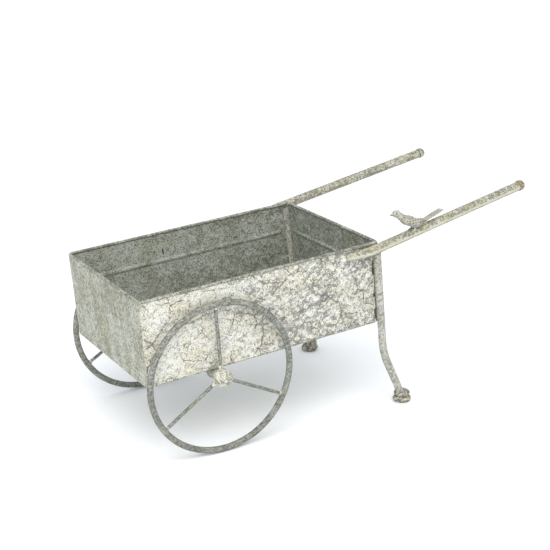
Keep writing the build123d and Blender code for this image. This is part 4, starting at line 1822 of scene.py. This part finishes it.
@dataclass
class Bird:
    """The little cast bird on the left handle, facing the tub.

    Lengths along run back from its perch, and heights start at the top of the handle there.

    Attributes:
        handle: The handle it sits on.
        perch: Distance of the perch behind the tub's rear corner.
        voxel: Finest detail of its skin.
    """

    handle: Handle
    perch: float = 52.0
    voxel: float = 0.42

    def __post_init__(self) -> None:
        """Finds the perch."""
        middle = self.handle.point(self.perch)
        crown = self.handle.radius / math.cos(self.handle.rise)
        self.origin = middle + np.array([0.0, 0.0, crown])

    def ball(
        self,
        along: float,
        across: float,
        height: float,
        sizes: Triple,
        lean: float = 0.0,
        splay: float = 0.0,
    ) -> Shape:
        """One rounded mass of the body.

        Args:
            along: Its distance back from the perch.
            across: Its distance to the bird's left or right.
            height: Its height over the perch.
            sizes: Half its length, width and height.
            lean: How far its front is tipped up, in degrees.
            splay: How far its back is turned outwards, in degrees.

        Returns:
            Its points and its faces.
        """
        turn = Matrix.Rotation(math.radians(lean), 4, "Y") @ Matrix.Rotation(math.radians(splay), 4, "Z")
        return lump(self.origin + np.array([along, across, height]), sizes, turn, 5, 0.0)

    def bar(self, ends: tuple[Triple, Triple], radii: tuple[float, float]) -> Shape:
        """A tapered rod with round ends.

        Args:
            ends: Its two ends, from the perch.
            radii: Its radius at each.

        Returns:
            Its points and its faces.
        """
        start, end = (np.array(place, float) for place in ends)
        aim = Vector(end - start)
        turn = aim.to_track_quat("Z", "Y").to_matrix().to_4x4()
        points, faces = lump(np.zeros(3), (1.0, 1.0, 1.0), turn, 5, 0.0)
        share = np.clip(points @ np.array(aim.normalized()) * 0.5 + 0.5, 0, 1)[:, None]
        width = radii[0] + (radii[1] - radii[0]) * share
        placed = self.origin + start + (end - start) * share + points * width
        return placed, faces

    def build(self) -> None:
        """Makes the bird and its eyes."""
        shapes = self.trunk() + self.wings() + self.tail() + self.feet()
        piece = make_piece("bird_casting", *join_shapes(shapes))
        fuse(piece, self.voxel, 3)
        self.carve_feathers(piece)
        dress(piece, Finish.BIRD)
        settle(piece, "barrow", "bird_casting", "bird")
        eyes = [self.ball(-29.2, side * 4.05, 24.0, (1.05, 0.75, 1.05)) for side in (-1, 1)]
        eye_piece = make_piece("bird_eyes", *join_shapes(eyes))
        fuse(eye_piece, 0.2, 1)
        dress(eye_piece, Finish.EYE)
        settle(eye_piece, "barrow", "bird_casting")

    def trunk(self) -> list[Shape]:
        """The masses of the body, the head and the beak.

        Returns:
            Points and faces of each.
        """
        return [
            self.ball(-3.0, 0.0, 8.6, (16.5, 8.8, 6.6), 20.0),
            self.ball(-13.0, 0.0, 12.6, (9.0, 7.8, 6.2), 38.0),
            self.ball(-20.0, 0.0, 17.8, (7.2, 6.0, 4.9), 42.0),
            self.ball(-27.0, 0.0, 22.8, (6.2, 4.9, 4.8), 8.0),
            self.ball(-25.6, 0.0, 24.2, (4.6, 4.0, 3.4)),
            self.ball(12.0, 0.0, 5.4, (8.5, 6.2, 3.6), 4.0),
            self.bar(((-31.2, 0.0, 23.4), (-36.9, 0.0, 22.6)), (2.3, 0.75)),
            self.bar(((-31.2, 0.0, 22.5), (-35.8, 0.0, 21.7)), (1.9, 0.7)),
        ]

    def wings(self) -> list[Shape]:
        """The folded wings and the two long feathers behind each.

        Returns:
            Points and faces of each.
        """
        shapes = []
        for side in (-1, 1):
            shapes.append(self.ball(-2.0, side * 7.5, 10.0, (14.0, 2.3, 5.2), 19.0, side * -4.0))
            shapes.append(self.ball(-8.5, side * 7.4, 12.2, (7.5, 2.5, 4.8), 26.0))
            shapes.append(self.bar(((3.0, side * 7.6, 8.6), (19.5, side * 4.4, 8.4)), (2.3, 1.0)))
            shapes.append(self.bar(((2.0, side * 7.2, 6.0), (16.5, side * 4.6, 6.4)), (2.0, 0.9)))
        return shapes

    def tail(self) -> list[Shape]:
        """The long flat tail, made of four feathers side by side with square ends.

        Returns:
            Points and faces of each.
        """
        shapes = []
        for number, across in enumerate((-1.0, -0.36, 0.36, 1.0)):
            start = (9.0, across * 2.8, 4.8)
            end = (45.0 - 0.7 * abs(across), across * 4.4, 18.6 - 0.3 * (number % 2))
            points, faces = self.bar((start, end), (1.9, 1.75))
            flat = points - self.origin
            spine = start[2] + (flat[:, 0] - start[0]) * (end[2] - start[2]) / (end[0] - start[0])
            flat[:, 2] = spine + (flat[:, 2] - spine) * 0.62
            flat[:, 0] = np.minimum(flat[:, 0], 46.4 - 0.4 * abs(across))
            shapes.append((flat + self.origin, faces))
        return shapes

    def feet(self) -> list[Shape]:
        """The legs, and toes that grip the handle.

        Returns:
            Points and faces of each.
        """
        slope = math.tan(self.handle.rise)
        radius = self.handle.radius
        shapes = [self.ball(5.0, 0.0, 2.2, (6.5, 4.6, 2.6), -10.0)]
        ankle = -1.0
        grip = 0.95
        for side in (-1, 1):
            thigh = (ankle + 3.0, side * 3.2, 4.0)
            shapes.append(self.bar((thigh, (ankle, side * 3.6, -0.5)), (1.7, 1.2)))
            for spread in (-5.4, -1.6, 2.4):
                along = ankle + spread
                low = radius * (1 - math.cos(grip)) + 0.2
                toe = (along, side * radius * math.sin(grip), slope * along - low)
                shapes.append(self.bar(((ankle, side * 3.4, -0.3), toe), (1.25, 0.85)))
        return shapes

    def carve_feathers(self, piece: Piece) -> None:
        """Cuts feather scales into the body and wings, a collar, and grooves down the tail.

        Args:
            piece: The bird's fused skin.
        """
        points, normals = read_surface(piece)
        along, across, height = (points - self.origin).T
        level = height + 0.36 * along
        round_body = np.arctan2(level - 7.5, np.abs(across)) * 9.0
        breast = scales((along - 0.25 * height) / 3.0, round_body / 3.0)
        wing_rows = scales((along + 0.2 * height) / 4.2, level / 3.3)
        quills = 0.5 + 0.5 * np.cos((height + 0.1 * along) * math.tau / 1.9)
        on_wing = ramp(np.abs(across), 5.6, 6.6) * ramp(along, -17.0, -14.0) * ramp(level, 3.0, 5.0)
        long_feathers = ramp(along, 2.0, 6.0)
        wing = (1 - long_feathers) * wing_rows + long_feathers * quills
        pattern = (1 - on_wing) * breast + on_wing * wing
        on_tail = ramp(along, 17.0, 21.0)
        barbs = 0.5 + 0.5 * np.cos((along - 1.6 * np.abs(across)) * math.tau / 2.2)
        shaft = hump(np.abs(across) - 2.1, 0.45)
        tail = np.clip(0.55 + 0.45 * barbs - 0.5 * shaft, 0, 1)
        pattern = (1 - on_tail) * pattern + on_tail * tail
        on_head = ramp(-along, 21.0, 24.0)
        pattern = (1 - on_head) * pattern + on_head * (0.75 + 0.25 * hills(points, 1.6, 151))
        collar = hump(along + 0.75 * height + 7.5, 1.2) * ramp(-along, 13.0, 16.0)
        gape = hump(height - 0.12 * along - 26.6, 0.35) * ramp(-along, 31.5, 33.0)
        rough = 0.5 + 0.5 * hills(points, 1.3, 153, 2)
        pattern = np.clip(pattern * 0.82 + rough * 0.18 - 0.6 * gape + 0.35 * collar, 0, 1)
        depth = 0.65 * (1 - 0.4 * on_head) * (1 - 0.3 * on_tail)
        cut = (1 - pattern) * depth - 0.25 * collar
        write_surface(piece, points - normals * cut[:, None], 0.1 + 0.9 * pattern)


def scales(row_place: np.ndarray, column_place: np.ndarray) -> np.ndarray:
    """Overlapping round scales, like small feathers.

    Args:
        row_place: Place along the body, one row of scales to each whole number.
        column_place: Place round the body, one scale to each whole number.

    Returns:
        Height from 0 between scales to 1 on each scale's middle.
    """
    row = np.floor(row_place)
    best = np.zeros(len(row_place))
    for step in (0, 1):
        lower = row - step
        forward = row_place - lower
        sideways = (column_place + 0.5 * (lower % 2)) % 1.0 - 0.5
        reach = np.sqrt((forward / 1.45) ** 2 + (sideways * 1.75) ** 2)
        height = np.where(reach < 1, (1 - 0.45 * forward / 1.45) * (1 - ramp(reach, 0.72, 1.0)), 0)
        best = np.maximum(best, height)
    return best


# ---------------------------------------------------------------- the studio


@dataclass(frozen=True)
class Lamp:
    """A square light that faces the object.

    Attributes:
        name: Its name.
        place: Where it hangs, in metres.
        size: Its width in metres.
        power: Its power in watts.
        colour: Its colour.
    """

    name: str
    place: Triple
    size: float
    power: float
    colour: Colour

    def hang(self, faced: Triple) -> None:
        """Hangs the light.

        Args:
            faced: The point it faces, in metres.
        """
        light = bpy.data.lights.new(self.name, "AREA")
        light.size = self.size
        light.energy = self.power
        light.color = self.colour
        lamp = link(self.name, light)
        lamp.location = self.place
        aim = Vector(faced) - Vector(self.place)
        lamp.rotation_euler = aim.to_track_quat("-Z", "Y").to_euler()


@dataclass
class Studio:
    """Pale floor, soft lights and the camera.

    Attributes:
        azimuth: The camera's direction round the object in degrees.
        elevation: Its height above the horizon in degrees.
        roll: Its tilt in degrees.
        distance: Its distance from the point it aims at, in metres.
        target: That point, in metres.
        focal: Focal length in millimetres for a 36 mm wide sensor.
        glow: Light that the paper gives off far from the object, like a lit studio sweep.
        glow_from: Distance in metres at which that starts.
        glow_to: Distance at which it is full.
        paper: Colour of the floor.
        lamps: The lights.
        lit: The point that they face, in metres.
        sky: Colour of the even light all round.
        sky_strength: Its strength.
    """

    azimuth: float = -29.18
    elevation: float = 18.70
    roll: float = -1.38
    distance: float = 1.7407
    target: Triple = (-0.0366, 0.0029, 0.1695)
    focal: float = 85.29
    glow: float = 0.35
    glow_from: float = 0.75
    glow_to: float = 2.6
    paper: Colour = (0.93, 0.945, 0.97)
    lamps: tuple[Lamp, ...] = (
        Lamp("key", (-0.8, -1.4, 1.85), 2.0, 43.0, (1.0, 0.98, 0.95)),
        Lamp("fill", (-2.4, -0.6, 1.6), 1.8, 5.0, (0.95, 0.97, 1.0)),
    )
    lit: Triple = (-0.02, 0.0, 0.15)
    sky: Colour = (0.955, 0.98, 1.0)
    sky_strength: float = 0.96

    def build(self) -> None:
        """Sets up the whole studio."""
        self.build_floor()
        self.build_lights()
        self.build_camera()
        bpy.context.scene.view_settings.view_transform = "Standard"

    def build_floor(self) -> None:
        """Makes the wide matt floor."""
        shape = bmesh.new()
        bmesh.ops.create_grid(shape, x_segments=8, y_segments=8, size=14.0)
        mesh = bpy.data.meshes.new("studio_floor")
        shape.to_mesh(mesh)
        shape.free()
        floor = link("studio_floor", mesh)
        floor.location.z = -0.0002
        shading = Shading("studio_paper")
        place = shading.add("TexCoord").outputs["Object"]
        grain = shading.noise(place, 1.5, 2.0, 0.5)
        rough = shading.span(grain, 0.3, 0.7, 0.88, 0.94)
        away = shading.add("VectorMath", {0: place}, operation="LENGTH").outputs["Value"]
        glow = shading.span(away, self.glow_from, self.glow_to, 0.0, self.glow)
        inputs = {"Base Color": (*self.paper, 1.0), "Roughness": rough, "Emission Strength": glow}
        inputs["Emission Color"] = (1.0, 1.0, 1.0, 1.0)
        surface = shading.add("BsdfPrincipled", inputs)
        surface.inputs["Specular IOR Level"].default_value = 0.1
        shading.add("OutputMaterial", {"Surface": surface.outputs[0]})
        mesh.materials.append(shading.material)

    def build_lights(self) -> None:
        """Hangs one broad key light, one fill and an even sky."""
        for lamp in self.lamps:
            lamp.hang(self.lit)
        world = bpy.data.worlds.new("studio_sky")
        bpy.context.scene.world = world
        world.use_nodes = True
        sky = world.node_tree.nodes["Background"]
        sky.inputs["Color"].default_value = (*self.sky, 1.0)
        sky.inputs["Strength"].default_value = self.sky_strength

    def build_camera(self) -> None:
        """Makes the camera and points it."""
        turn = math.radians(self.azimuth)
        lift = math.radians(self.elevation)
        level = math.cos(lift)
        back = Vector((math.sin(turn) * level, -math.cos(turn) * level, math.sin(lift)))
        right = (-back).cross(Vector((0, 0, 1))).normalized()
        up = right.cross(-back)
        tilt = math.radians(self.roll)
        across = math.cos(tilt) * right + math.sin(tilt) * up
        upright = -math.sin(tilt) * right + math.cos(tilt) * up
        lens = bpy.data.cameras.new("camera")
        lens.sensor_width = 36.0
        lens.lens = self.focal
        lens.clip_end = 100.0
        lens.dof.use_dof = False
        camera = link("camera", lens)
        pose = Matrix((across, upright, back)).transposed().to_4x4()
        pose.translation = Vector(self.target) + back * self.distance
        camera.matrix_world = pose
        bpy.context.scene.camera = camera


def main() -> None:
    """Builds every sub-assembly in order."""
    tub = TubShape.from_frame()
    legs = LegShape(tub)
    Tub(tub, legs).build()
    for name, side in SIDES.items():
        Leg(legs, name, side).build()
        Handle(tub, name, side).build()
    for name, side in SIDES.items():
        Wheel(name, side, SPOKE_PHASES[name]).build()
    AxleGroup().build()
    Bird(Handle(tub, "left", SIDES["left"])).build()
    Studio().build()
    bpy.context.view_layer.update()


if __name__ == "__main__":
    logging.basicConfig(level=logging.INFO, format="%(name)s: %(message)s")
    main()
